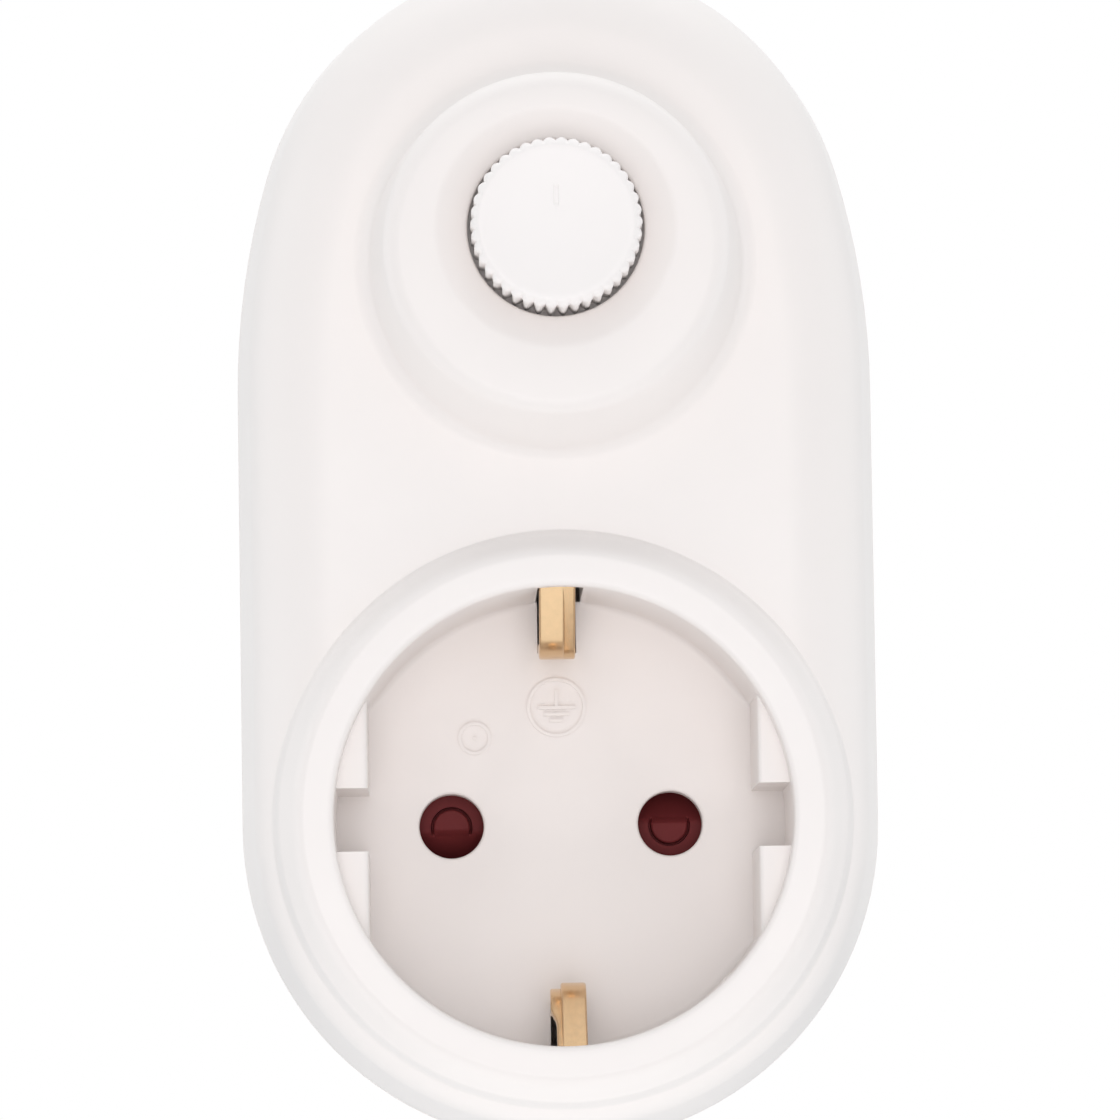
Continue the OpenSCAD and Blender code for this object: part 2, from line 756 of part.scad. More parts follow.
module fuse_tube() color("#e8eef0") fuse_along() difference() {
  cylinder(r = fuse_r - cap_wall, h = fuse_l - 2, center = true);
  cylinder(r = fuse_r - cap_wall - fuse_wall, h = fuse_l, center = true);
}

module fuse_caps() color("#c7c9cc") fuse_along() for (side = [0, 1]) mirror([0, 0, side])
  translate([0, 0, fuse_l / 2 - fuse_cap_l]) difference() {
    cylinder(r = fuse_r, h = fuse_cap_l);
    translate([0, 0, -over]) cylinder(r = fuse_r - cap_wall + seat, h = fuse_cap_l - 1 + over);
  }

// Spring clips: a slit ring round each cap on a flat foot
module fuse_clips() color("#c9a24a") for (side = [-1, 1])
  on_board([side * (fuse_l - fuse_cap_l) / 2, fuse_up]) {
    translate([0, 0, fuse_drop]) rotate([0, 90, 0]) difference() {
      cylinder(r = fuse_r + fuse_clip_t, h = fuse_clip_w, center = true);
      cylinder(r = fuse_r + seat, h = fuse_clip_w + over, center = true);
      translate([-fuse_r * 2.5, -fuse_r * 2, -fuse_clip_w]) cube([fuse_r * 2, fuse_r * 4, fuse_clip_w * 2]);
    }
    translate([-fuse_clip_w / 2, -fuse_foot / 2, 0])
      cube([fuse_clip_w, fuse_foot, fuse_drop - fuse_r - cap_wall]);
  }

// What the rounded ramps leave out of the pads, this far above their faces
module above_ramps(lift) for (turn = [0, 180]) rotate([0, 0, turn])
  translate([-pin_x, -hole_d / 12, shutter_t - ramp_r]) difference() {
    translate([-shutter_w / 2 - over, -shutter_w, 0])
      cube([shutter_w + 2 * over, shutter_w, ramp_r + lift + over]);
    rotate([0, 90, 0]) cylinder(r = ramp_r + lift, h = 2 * shutter_w, center = true);
  }

// Child shutter: two arms on a hub; each pad has a ringed, raised disc and a ramp that a pin turns it by
module pin_shutter() color("#6e2228") translate([0, 0, carrier_front + shutter_gap]) difference() {
  union() {
    difference() {
      union() {
        translate([-pin_x, -shutter_w / 2, 0]) cube([pin_gap, shutter_w, shutter_t]);
        at_pins() cylinder(d = shutter_w, h = shutter_t);
      }
      above_ramps(0);
      at_pins() round_bar(disc_r + disc_groove, shutter_t - disc_groove, shutter_t + over);
    }
    difference() {
      at_pins() cylinder(r = disc_r, h = shutter_t + shutter_gap / 2);
      above_ramps(shutter_gap / 2);
    }
    translate([0, 0, -shutter_gap / 2]) cylinder(r = hub_r, h = shutter_t + shutter_gap);
  }
  translate([0, 0, -over]) cylinder(r = pivot_r + running, h = shutter_t + 2 * over);
}

// Rings of points round a path, square to it; aside is any direction that the path never takes
function unit(v) = v / norm(v);

function tube_rings(path, r, sides, aside) = [
  for (i = [0:len(path) - 1])
    let (
      along = unit(path[min(i + 1, len(path) - 1)] - path[max(i - 1, 0)]),
      across = unit(cross(along, aside)),
      other = cross(across, along)
    )
    [for (j = [0:sides - 1]) let (a = 360 * j / sides) path[i] + r * (cos(a) * across + sin(a) * other)]
];

// One closed tube through rings of points
module tube(rings) {
  n = len(rings[0]);
  last = n * (len(rings) - 1);
  polyhedron(
    points = [for (ring = rings) each ring],
    faces = [
      for (k = [0:n:last - n], j = [0:n - 1]) let (next = (j + 1) % n) each [
        [k + j, k + next, k + n + j],
        [k + next, k + n + next, k + n + j]
      ],
      for (j = [1:n - 2]) each [[0, j + 1, j], [last, last + j, last + j + 1]]
    ]
  );
}

spring_path = [
  for (k = [0:24 * spring_turns]) let (a = 15 * k)
    [spring_r * cos(a), spring_r * sin(a), spring_wire / 2 + spring_pitch * k / 24]
];
spring_rings = tube_rings(spring_path, spring_wire / 2, 6, [0, 0, 1]);
spring_self_gap = min([for (a = spring_rings[1], b = spring_rings[25]) norm(a - b)]);
echo(least_gap_of_the_spring_to_itself = spring_self_gap);

// Coil behind the shutter: one tube along a helix
module shutter_spring() color("#b8bcc0")
  translate([0, 0, carrier_front - spring_h - clear]) tube(spring_rings);

// Insulating block: a chamber for each contact, a pocket for the spring, two screw ears
module contact_carrier() color("#d9d6cf") difference() {
  union() {
    translate([0, 0, carrier_back]) rounded_box([2 * carrier_x, 2 * carrier_up, carrier_t], 2);
    at_posts() round_bar(ear_r, carrier_front - ear_t, carrier_front);
    for (side = [-1, 1]) translate([side * post_x - post_r, side > 0 ? 0 : -post_up, carrier_front - ear_t])
      cube([2 * post_r, post_up, ear_t]);
  }
  at_pins() {
    round_bar(chamber_r, carrier_back - over, contact_front);
    round_bar(hole_d / 2, carrier_back, carrier_front + over);
  }
  difference() {
    round_bar(spring_r + spring_wire, spring_room, carrier_front + over);
    round_bar(spring_r - spring_wire, spring_room - over, contact_front - seat);
  }
  at_posts() round_bar(small_screw_r + clear, carrier_back, carrier_front + over);
}

module small_screw() {
  round_bar(small_screw_r, -seat, small_screw_l);
  translate([0, 0, -small_head_t]) cylinder(r1 = small_head_r * 0.8, r2 = small_head_r, h = small_head_t);
}

module carrier_screws() color("#c3c6ca") at_posts() translate([0, 0, carrier_front - ear_t]) small_screw();

// Contact sleeve: a thin tube, slit crosswise so that it grips the pin
module socket_contacts() color("#c9a24a") at_pins() difference() {
  round_bar(contact_r, contact_tail, contact_front - seat);
  round_bar(contact_r - contact_t, contact_tail + contact_t, carrier_front);
  for (turn = [0, 90]) rotate([0, 0, turn])
    translate([-chamber_r - over, -contact_slit / 2, contact_front - contact_l * 0.7])
      cube([2 * (chamber_r + over), contact_slit, contact_l]);
}

// Strip of even thickness whose inner face follows a bent path of (up, forward) points
function path_normal(path, i) =
  let (
    last = len(path) - 1,
    before = unit(path[max(i, 1)] - path[max(i, 1) - 1]),
    after = unit(path[min(i, last - 1) + 1] - path[min(i, last - 1)]),
    mid = unit(before + after)
  )
  [mid[1], -mid[0]] / (mid * after);

module bent_strip(path, from, to)
  translate([from, 0, 0]) rotate([90, 0, 90]) linear_extrude(to - from) polygon([
    each path,
    for (i = [len(path) - 1:-1:0]) path[i] + strip_t * path_normal(path, i)
  ]);

// Clip: up through the floor, a rounded contact hump, set back for the wing, and a lead-in
function clip_path(set_back) = concat(
  [[strip_seat, carrier_front - over], [strip_seat, well_floor + 1]],
  arc([clip_gap / 2 + clip_r + set_back, clip_peak], clip_r, 215, 135, 8),
  [[clip_end_up, clip_end]]
);

// Plug contact, run through the housing, and clip with its wing
module earth_strip() {
  bent_strip([[strip_seat, plug_chamfer + clear], [strip_seat, carrier_front]], -strip_w / 2, strip_w / 2);
  translate([-clip_aside, 0, 0]) {
    bent_strip(clip_path(0), -clip_w / 2, clip_w / 2 - wing_w);
    bent_strip(clip_path(wing_set), clip_w / 2 - wing_w - strip_t / 2, clip_w / 2);
  }
}

module earth_strip_top() color("#caa45c") earth_strip();

module earth_strip_bottom() color("#caa45c") rotate([0, 0, 180]) earth_strip();

module earth_bridge() color("#caa45c") translate([-strip_w / 2, -strip_seat, carrier_back - strip_t])
  cube([strip_w, 2 * strip_seat, strip_t]);

module plug_pins() color("#c9c6bd") at_pins() {
  round_bar(pin_r, pin_r - pin_l, seat);
  translate([0, 0, pin_r - pin_l]) sphere(pin_r);
  round_bar(pin_root_r, 0, plug_end_t + seat);
  round_bar(pin_head_r, plug_end_t, plug_end_t + pin_head_t);
  round_bar(pin_tail_r, plug_end_t, pin_tail);
}

// Smooth curve through all points but the first and the last, which lie straight ahead of its ends
function curve(points, steps) = [
  points[0],
  for (i = [1:len(points) - 3], k = [0:steps - 1])
    let (
      p0 = points[i - 1],
      p1 = points[i],
      p2 = points[i + 1],
      p3 = points[i + 2],
      t = k / steps
    )
    p1 + t * (p2 - p0) / 2 + t * t * (p0 - 2.5 * p1 + 2 * p2 - p3 / 2)
      + t * t * t * (-p0 / 2 + 1.5 * p1 - 1.5 * p2 + p3 / 2),
  points[len(points) - 2],
  points[len(points) - 1]
];

// Insulated lead along a route
module lead(route) tube(tube_rings(route, lead_d / 2, 8, [1, 0, 0]));

module live_lead() color("#6b4a2f") lead(curve(live_route, 4));

module load_lead() color("#2f2f33") lead(curve(load_route, 4));

module neutral_lead() color("#3c5f9c") lead(neutral_route);

// Pan-head screw with a cross recess, head to the rear
module housing_screw() difference() {
  union() {
    round_bar(screw_d / 2, 0, screw_l - screw_d / 2);
    translate([0, 0, screw_l - screw_d / 2]) cylinder(r1 = screw_d / 2, r2 = screw_d / 6, h = screw_d / 2);
    translate([0, 0, -head_h]) cylinder(r1 = head_r * 0.8, r2 = head_r, h = head_h / 2);
    round_bar(head_r, -head_h / 2 - seat, 0);
  }
  for (turn = [0, 90]) rotate([0, 0, turn]) translate([-head_r / 2, -cross_w / 2, -head_h - over])
    cube([head_r, cross_w, over + head_h * 0.6]);
}

module housing_screws() color("#c3c6ca") {
  at_lower_screws() translate([0, 0, lower_seat]) housing_screw();
  at_upper_screws() translate([0, 0, upper_seat]) housing_screw();
}

stand() front_shell();
stand() rear_shell();
stand() dimmer_knob();
stand() pot_shaft();
stand() pot_housing();
stand() pot_bush();
stand() circuit_board();
stand() triac();
stand() heat_sink();
stand() choke_core();
stand() choke_winding();
stand() suppression_capacitor();
stand() timing_capacitor();
stand() resistors();
stand() diac();
stand() fuse_tube();
stand() fuse_caps();
stand() fuse_clips();
stand() pin_shutter();
stand() shutter_spring();
stand() contact_carrier();
stand() carrier_screws();
stand() socket_contacts();
stand() earth_strip_top();
stand() earth_strip_bottom();
stand() earth_bridge();
stand() plug_pins();
stand() live_lead();
stand() load_lead();
stand() neutral_lead();
stand() housing_screws();
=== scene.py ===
"""Looks of the plug-in dimmer: smooth mouldings, materials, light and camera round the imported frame."""
import json
import math

import bmesh
import bpy
from mathutils import Matrix, Vector
from mathutils.geometry import delaunay_2d_cdt


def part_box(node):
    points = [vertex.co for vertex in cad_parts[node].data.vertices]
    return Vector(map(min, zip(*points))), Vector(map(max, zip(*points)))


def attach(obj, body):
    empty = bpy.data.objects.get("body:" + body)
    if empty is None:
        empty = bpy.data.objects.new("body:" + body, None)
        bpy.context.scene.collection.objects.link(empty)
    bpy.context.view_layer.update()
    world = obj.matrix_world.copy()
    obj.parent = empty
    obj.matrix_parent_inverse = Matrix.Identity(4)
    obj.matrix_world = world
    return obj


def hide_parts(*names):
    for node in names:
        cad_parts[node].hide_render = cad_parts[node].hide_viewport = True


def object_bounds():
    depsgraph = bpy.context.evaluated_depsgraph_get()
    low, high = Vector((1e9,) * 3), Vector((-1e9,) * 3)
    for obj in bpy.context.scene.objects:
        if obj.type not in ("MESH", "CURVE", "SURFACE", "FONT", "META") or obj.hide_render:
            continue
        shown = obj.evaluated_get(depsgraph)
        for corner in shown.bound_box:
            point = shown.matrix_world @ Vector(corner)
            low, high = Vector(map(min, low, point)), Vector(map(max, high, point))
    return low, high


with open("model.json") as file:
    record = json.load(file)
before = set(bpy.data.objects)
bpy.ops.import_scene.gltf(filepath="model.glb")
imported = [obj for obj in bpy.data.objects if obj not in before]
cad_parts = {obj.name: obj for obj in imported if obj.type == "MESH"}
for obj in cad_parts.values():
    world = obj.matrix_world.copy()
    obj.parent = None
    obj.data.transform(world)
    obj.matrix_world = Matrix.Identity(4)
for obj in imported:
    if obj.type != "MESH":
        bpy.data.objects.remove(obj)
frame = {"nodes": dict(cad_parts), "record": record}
cad_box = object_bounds()

# Shapes are drawn in millimetres as (across, up, forward) and placed in the frame in metres
MM = 0.001


def in_mm(metres):
    return round(metres / MM, 2)


# Housing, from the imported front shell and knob
shell_low, shell_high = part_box("front_shell")
knob_low, knob_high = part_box("dimmer_knob")
HALF_W = in_mm(shell_high.x)
KNOB_UP = in_mm((knob_low.z + knob_high.z) / 2)
CROWN_R = in_mm(shell_high.z) - KNOB_UP
PLATEAU = in_mm(-shell_low.y)
BOSS_H = 6.0
FRONT = PLATEAU - BOSS_H
FRONT_H = 16.5
PARTING = FRONT - FRONT_H
EDGE_R = 7.0
DRAFT = math.radians(7)
WALL = 2.2
# The shoulder arcs meet sides and crown without a kink: a triangle of sides 7, 24 and 25
SHOULDER_R = 25 * HALF_W - 24 * CROWN_R
SPRING_LINE = KNOB_UP - 7 * (HALF_W - CROWN_R)
SHOULDER_ANGLE = math.atan2(7, 24)
# Tiny round where the two shells meet, and edge loops on the side above it
SEAM_ROUND = 0.3
SIDE_LOOPS = (6.0, 3.0)

# Collar and well
COLLAR_H = 3.0
RIM = FRONT + COLLAR_H
WELL_R = 19.5
TUBE_R = WELL_R + 1.8
WELL_FLOOR = RIM - 17.5
FLOOR_BACK = WELL_FLOOR - 2.5
MOUTH_ROUND = 0.5
COLLAR_TOP_R = WELL_R + 3.1
COLLAR_BASE_R = COLLAR_TOP_R + 1.8
COLLAR_TOP_BLEND = 1.0
COLLAR_BASE_BLEND = 1.6
COLLAR_FOOT_BLEND = 1.3
COLLAR_REACH = COLLAR_BASE_R + 0.9
# Rings of the collar's mesh as (end radius, step), finest where its section bends
COLLAR_RINGS = (
    (COLLAR_TOP_R - 0.8, 0.5),
    (COLLAR_TOP_R + 0.8, 0.12),
    (COLLAR_BASE_R - 0.5, 0.2),
    (COLLAR_REACH, 0.09),
)
CHEEK_X = 16.6
CHEEK_TOP = RIM - 3
CHEEK_ROUND = 0.4
NOTCH_HALF = 2.7
FLOOR_FILLET = 0.6
FILLET_FADE = math.radians(7)
# Clip slot in the wall and the narrower cut through the floor, drawn for the upper clip (side 1);
# the lower one (side -1) is turned half round, and its cut is closer
SLOT_HALF = 1.95
SLOT_TOP = RIM - 1.5
CUT_LEFT = 1.82
CUT_RIGHT = {1: 1.55, -1: 1.15}
CUT_INNER = 14.95
PIN_X = 9.5
HOLE_R = 2.8
HOLE_ROUND = 0.25
HOLE_STEPS = 72
# Raised marks on the floor: earth sign in a ring, and the round mark of an ejector pin
LINE_W = 0.28
LINE_H = 0.3
EARTH_AT = (-0.25, 10.2)
EARTH_RING_R = 2.43
EARTH_BARS = ((0.0, 1.65), (-0.58, 1.12), (-1.12, 0.6))
EARTH_STEM_TOP = 1.5
EJECTOR_AT = (-7.4, 7.6)
EJECTOR_R = 1.3
# Inside of the front shell: straight side, sloped corner and flat ceiling
CEILING = FRONT - WALL - 0.3
ROOM_INSET = 2.9
ROOM_SIDE = FRONT - 5.5
ROOM_TOP_INSET = 5.4
CARRIER_FRONT = FLOOR_BACK - 3.6
# Posts inside it: the shutter's pivot, two for the contact carrier and four for the housing's screws;
# each runs a little into the wall that it stands on, and its bore stops short of that
POST_EMBED = 0.5
BORE_STOP = 1
PIVOT_R = 2.0
PIVOT_FOOT = CARRIER_FRONT - 1.2
POST_AT = (7.4, 9.8)
POST_R = 2.6
POST_BORE = 1.12
SCREW_POST_R = 2.9
SCREW_BORE = 1.52
LOWER_SCREW = (15.77, -15.77)
LOWER_POST_END = CEILING - 1.2
UPPER_SCREW = (15.52, KNOB_UP + 10.47)
UPPER_POST_FOOT = PARTING - 2

# Earth strips, drawn for the upper one; run, clip and wing are set apart a little at the seat
STRIP_T = 0.8
STRIP_ROUND = 0.2
STRIP_SEAT = 15.0
CLIP_SEAT = STRIP_SEAT + 0.05
WING_SEAT = STRIP_SEAT + 0.1
STRIP_HALF = 2.5
STRIP_BACK = 1.3
CLIP_FOOT = CARRIER_FRONT - 1
CLIP_LEFT = -1.8
WING_AT = 0.37
WING_LEFT = WING_AT - STRIP_T / 2
CLIP_INNER = 13.9
CLIP_END = (19.72, RIM - 3.4)
HUMP_R = 4.0
HUMP_AT = RIM - 10
HUMP_BACK = math.radians(9)
# Wing beside the upper (1) and lower (-1) clip: radius and set-back of its hump,
# and its edge at the floor, at the hump and at the lead-in
WING_HUMP = {1: (2.6, 0.0), -1: (4.0, 0.5)}
WING_EDGE = {1: (1.3, 1.3, 1.3), -1: (1.1, 1.28, 0.8)}
WING_STEP_AT = HUMP_AT + 3.4
WING_STEP_RUN = 0.8

# Child shutter: pads behind the pin holes, each with a grooved disc that a ramp cuts off
SHUTTER_T = 2.4
SHUTTER_TOP = CARRIER_FRONT + 0.6 + SHUTTER_T
SHUTTER_BACK = SHUTTER_TOP - SHUTTER_T
PAD_R = 3.7
PAD_LIP = 0.2
DISC_R = HOLE_R * 0.56
DISC_RISE = 0.3
DISC_BEVEL = 0.12
BEVEL_DROP = 0.1
GROOVE_W = 0.26
GROOVE_DROP = 0.7
GROOVE_WALL = 0.05
GROOVE_END_R = DISC_R + GROOVE_W
# Section of disc and groove, as (radius, level)
DISC_SECTION = (
    (0, DISC_RISE),
    (DISC_R - DISC_BEVEL, DISC_RISE),
    (DISC_R, DISC_RISE - BEVEL_DROP),
    (DISC_R + GROOVE_WALL, -GROOVE_DROP),
    (GROOVE_END_R - GROOVE_WALL, -GROOVE_DROP),
    (GROOVE_END_R, 0),
)
RAMP_AT = 0.4
RAMP_SLOPE = 0.75
RAMP_SOFT = 0.3
RAMP_FADE = 0.25
ARM_LAP = 0.2
HUB_R = 3.6
HUB_RISE = 0.3
PIVOT_PLAY = 0.05

# Boss, dish and knob
BOSS_FOOT_R = 16.1
BOSS_FOOT_UP = KNOB_UP - 2.6
BOSS_TOP_R = 14.5
BOSS_TOP_UP = KNOB_UP - 1.1
BOSS_FOOT_ROUND = 1.6
BOSS_SHOULDER_ROUND = 1.7
DISH_R = 10.2
DISH_DEPTH = 1.0
DISH_SOFT = 0.3
DISH_LIP = 0.02
KNOB_HOLE_R = 7.52
HOLE_DEPTH = WALL
BOSS_ROOM_R = KNOB_HOLE_R + 3
KNOB_R = 7.28
KNOB_FACE = in_mm(-knob_low.y)
KNOB_BOTTOM = in_mm(-knob_high.y)
KNOB_TEETH = 42
KNURL_START = 0.15
KNURL_GROWTH = 0.14
KNURL_DEEP = 0.6
KNOB_ROUND = 0.85
KNOB_HOLLOW = 0.3
HOLLOW_RIM = 0.2
MARK_HALF_W = 0.2
MARK_FROM = 1.44
MARK_TO = 3.24
MARK_DEPTH = 0.08
MARK_SOFT = 0.1
FLANGE_R = KNOB_HOLE_R + 1
FLANGE_TOP = PLATEAU - 1.5 * WALL
FLANGE_T = 1.2

# Steps of the meshes, in millimetres, radians or, for turns, degrees
ANGLE_STEP = math.radians(1.5)
EDGE_STEP = math.radians(4)
BOSS_ROUND_STEP = math.radians(9)
HUMP_STEP = math.radians(3)
QUARTER_STEP = 22.5
SMALL_STEP = 30
KNOB_ROUND_STEP = 3
FACE_TURNS = (28, 88, 5)
SIDE_STEP = 1.0
FILL_STEP = 2.5
LEAD_STEP = 0.1
KNOB_FACE_STEP = 0.12
KNOB_SIDE_STEP = 0.6
KNOB_CENTRE_R = 0.1
PAD_STEP = 0.15
PAD_CENTRE_R = 0.05
BOSS_STEPS = 160
RIB_STEPS = 12
# Room between the points inside the front face and the collar, its other edges, and the boss
RING_CLEAR = 0.12
LOOP_CLEAR = 0.05
FILL_CLEAR = 1
FOOT_CLEAR = 3
# Welding distance and shortest edge of a mesh, and the angle from which an edge is sharp
WELD = 0.002
SLIVER = 0.0005
FRONT_SHARP = math.radians(32)
SHUTTER_SHARP = math.radians(35)
SHARP = math.radians(40)


def place(point):
    """A point drawn as (across, up, forward) in millimetres, in the frame's metres."""
    across, up, forward = point
    return Vector((across, -forward, up)) * MM


def spaced(start, end, step):
    """Values from start to end in even steps of about the given size."""
    count = max(1, math.ceil(abs(end - start) / step - 1e-6))
    return [start + (end - start) * i / count for i in range(count + 1)]


def turns(start, end, step):
    """Angles from start to end in even steps of about the given size, all given in degrees."""
    return [math.radians(angle) for angle in spaced(start, end, step)]


def full_turn(steps):
    return [2 * math.pi * i / steps for i in range(steps)]


def polar(r, angle, up=0.0):
    return r * math.cos(angle), up + r * math.sin(angle)


def circle(r, centre):
    return [(centre[0] + r * math.cos(a), centre[1] + r * math.sin(a)) for a in full_turn(HOLE_STEPS)]


def raised(loop, height):
    """A flat loop of (across, up) at one height."""
    return [(*p, height) for p in loop]


def clamped(value):
    return min(1, max(0, value))


def smooth_max(a, b, width):
    overlap = max(width - abs(a - b), 0) / width
    return max(a, b) + overlap * overlap * width / 4


def smooth_min(a, b, width):
    return -smooth_max(-a, -b, width)


class Moulding:
    """A mesh under construction from grids, flat fills and single faces."""

    def __init__(self):
        self.mesh = bmesh.new()

    def face(self, points):
        corners = [self.mesh.verts.new(place(p)) for p in points]
        self.mesh.faces.new(corners)

    def grid(self, rows, closed=False):
        """Quads between rows of points; a closed grid joins the ends of each row."""
        made = [[self.mesh.verts.new(place(p)) for p in row] for row in rows]
        columns = len(made[0]) if closed else len(made[0]) - 1
        for lower, upper in zip(made, made[1:]):
            for i in range(columns):
                j = (i + 1) % len(lower)
                self.mesh.faces.new((lower[i], lower[j], upper[j], upper[i]))

    def solid(self, rows):
        """A closed grid with its first and last row filled."""
        self.grid(rows, closed=True)
        self.face(rows[0])
        self.face(rows[-1])

    def fill(self, loops, height, points=()):
        """Triangles inside the first loop and outside the others, at height(across, up)."""
        coords, edges = [], []
        for loop in loops:
            first = len(coords)
            coords += [Vector(p) for p in loop]
            edges += [(first + i, first + (i + 1) % len(loop)) for i in range(len(loop))]
        coords += [Vector(p) for p in points]
        found, _, triangles, *_ = delaunay_2d_cdt(coords, edges, [], 0, 1e-6)
        corners = [self.mesh.verts.new(place((p.x, p.y, height(p.x, p.y)))) for p in found]
        for triangle in triangles:
            middle = sum((found[i] for i in triangle), Vector((0, 0))) / 3
            if inside(middle, loops[0]) and not any(inside(middle, hole) for hole in loops[1:]):
                self.mesh.faces.new([corners[i] for i in triangle])

    def build(self, name, material, sharp_angle):
        """The finished object, with its seams welded and its normals outward."""
        bmesh.ops.remove_doubles(self.mesh, verts=self.mesh.verts, dist=WELD * MM)
        bmesh.ops.dissolve_degenerate(self.mesh, edges=self.mesh.edges, dist=SLIVER * MM)
        loose = [v for v in self.mesh.verts if not v.link_faces]
        bmesh.ops.delete(self.mesh, geom=loose, context="VERTS")
        bmesh.ops.recalc_face_normals(self.mesh, faces=self.mesh.faces)
        for f in self.mesh.faces:
            f.smooth = True
        data = bpy.data.meshes.new(name)
        self.mesh.to_mesh(data)
        self.mesh.free()
        data.set_sharp_from_angle(angle=sharp_angle)
        data.materials.append(material)
        piece = bpy.data.objects.new(name, data)
        bpy.context.scene.collection.objects.link(piece)
        return piece


def inside(point, loop):
    """Whether a point lies inside a closed loop, by counting crossings."""
    odd = False
    for a, b in zip(loop, loop[1:] + loop[:1]):
        if (a[1] > point.y) != (b[1] > point.y):
            if point.x < a[0] + (point.y - a[1]) * (b[0] - a[0]) / (b[1] - a[1]):
                odd = not odd
    return odd


# Outline of the housing and the height of its front


def around_well():
    """Angles round the well, with a break at each edge of cheeks, notches and clip slots."""
    cheek = math.acos(CHEEK_X / WELL_R)
    notch = math.asin(NOTCH_HALF / WELL_R)
    slot = math.pi / 2 - math.asin(SLOT_HALF / WELL_R)
    quarter = [0, notch, cheek, slot]
    half = quarter + [math.pi - a for a in reversed(quarter[1:])]
    breaks = half + [math.pi + a for a in half] + [2 * math.pi]
    kinds = ["notch", "cheek", "wall", "slot", "wall", "cheek", "notch"] * 2
    return breaks, kinds


BREAKS, KINDS = around_well()
ARCS = [(kind, spaced(a, b, ANGLE_STEP)) for kind, a, b in zip(KINDS, BREAKS, BREAKS[1:])]
AROUND = [a for _, arc in ARCS for a in arc[:-1]]
UPPER = [a for a in AROUND if a < math.pi] + [math.pi]
LOWER = [a for a in AROUND if a >= math.pi] + [2 * math.pi]


def upper_outline():
    """Points and outward directions of the outline, from the right over the crown to the left."""
    right = [((HALF_W, up), 0.0) for up in spaced(0, SPRING_LINE, SIDE_STEP)]
    shoulder_x = HALF_W - SHOULDER_R
    for angle in spaced(0, SHOULDER_ANGLE, SIDE_STEP / SHOULDER_R)[1:]:
        x, up = polar(SHOULDER_R, angle, SPRING_LINE)
        right.append(((shoulder_x + x, up), angle))
    for angle in spaced(SHOULDER_ANGLE, math.pi / 2, SIDE_STEP / CROWN_R)[1:]:
        right.append((polar(CROWN_R, angle, KNOB_UP), angle))
    left = [((-x, up), math.pi - angle) for (x, up), angle in reversed(right[:-1])]
    return right + left


UPPER_OUTLINE = upper_outline()
OUTLINE = UPPER_OUTLINE + [(polar(HALF_W, a), a) for a in LOWER[1:-1]]


def inset_curve(outline, inset):
    return [(x - inset * math.cos(a), up - inset * math.sin(a)) for (x, up), a in outline]


def inset_at(x, up):
    """How far a point lies inside the outline."""
    if up <= 0:
        return HALF_W - math.hypot(x, up)
    if up <= SPRING_LINE:
        return HALF_W - abs(x)
    across = abs(x) + SHOULDER_R - HALF_W
    if (up - SPRING_LINE) < across * math.tan(SHOULDER_ANGLE):
        return SHOULDER_R - math.hypot(across, up - SPRING_LINE)
    return CROWN_R - math.hypot(x, up - KNOB_UP)


EDGE_CENTRE_H = FRONT_H - EDGE_R
EDGE_INSET = EDGE_CENTRE_H * math.tan(DRAFT) + EDGE_R / math.cos(DRAFT)


def edge_height(inset):
    """Height of the drafted side and its rounded edge, this far inside the outline."""
    if inset >= EDGE_INSET:
        return FRONT
    if inset <= EDGE_INSET - EDGE_R * math.cos(DRAFT):
        return PARTING + inset / math.tan(DRAFT)
    return PARTING + EDGE_CENTRE_H + math.sqrt(EDGE_R ** 2 - (EDGE_INSET - inset) ** 2)


def collar_height(r):
    """Collar section: flat rim, slope and steep foot, with rounded corners."""
    slope = RIM - (r - COLLAR_TOP_R) * COLLAR_H / (COLLAR_BASE_R - COLLAR_TOP_R)
    foot = FRONT - (r - COLLAR_BASE_R) / math.tan(DRAFT)
    return smooth_min(smooth_min(RIM, slope, COLLAR_TOP_BLEND), foot, COLLAR_BASE_BLEND)


def front_height(x, up):
    side = edge_height(inset_at(x, up))
    return smooth_max(side, collar_height(math.hypot(x, up)), COLLAR_FOOT_BLEND)


# Front moulding


def collar_rings():
    """Radii of the collar's rings, from the well's mouth outwards."""
    radii = [WELL_R + MOUTH_ROUND]
    for end, step in COLLAR_RINGS:
        radii += spaced(radii[-1], end, step)[1:]
    return radii


def add_collar(skin):
    rows = []
    for r in collar_rings():
        ring = [polar(r, a) for a in AROUND]
        rows.append([(x, up, front_height(x, up)) for x, up in ring])
    skin.grid(rows, closed=True)


def flank_section():
    """Steps down the side as (inset, height): rounded edge, drafted side, tiny round at the seam."""
    reach = HALF_W - COLLAR_REACH
    tilt = math.acos((EDGE_INSET - reach) / EDGE_R)
    arc = [(EDGE_INSET - EDGE_R * math.cos(t), t) for t in spaced(tilt, DRAFT, EDGE_STEP)]
    section = [(inset, PARTING + EDGE_CENTRE_H + EDGE_R * math.sin(t)) for inset, t in arc]
    section[0] = (reach, section[0][1])
    for height in (*SIDE_LOOPS, SEAM_ROUND):
        section.append((height * math.tan(DRAFT), PARTING + height))
    for t in turns(SMALL_STEP, 90, SMALL_STEP):
        height = SEAM_ROUND * (1 - math.sin(t))
        section.append((SEAM_ROUND * (1 - math.cos(t)), PARTING + height))
    return section


def add_flank(skin):
    rows = [raised(inset_curve(OUTLINE, inset), height) for inset, height in flank_section()]
    skin.grid(rows, closed=True)


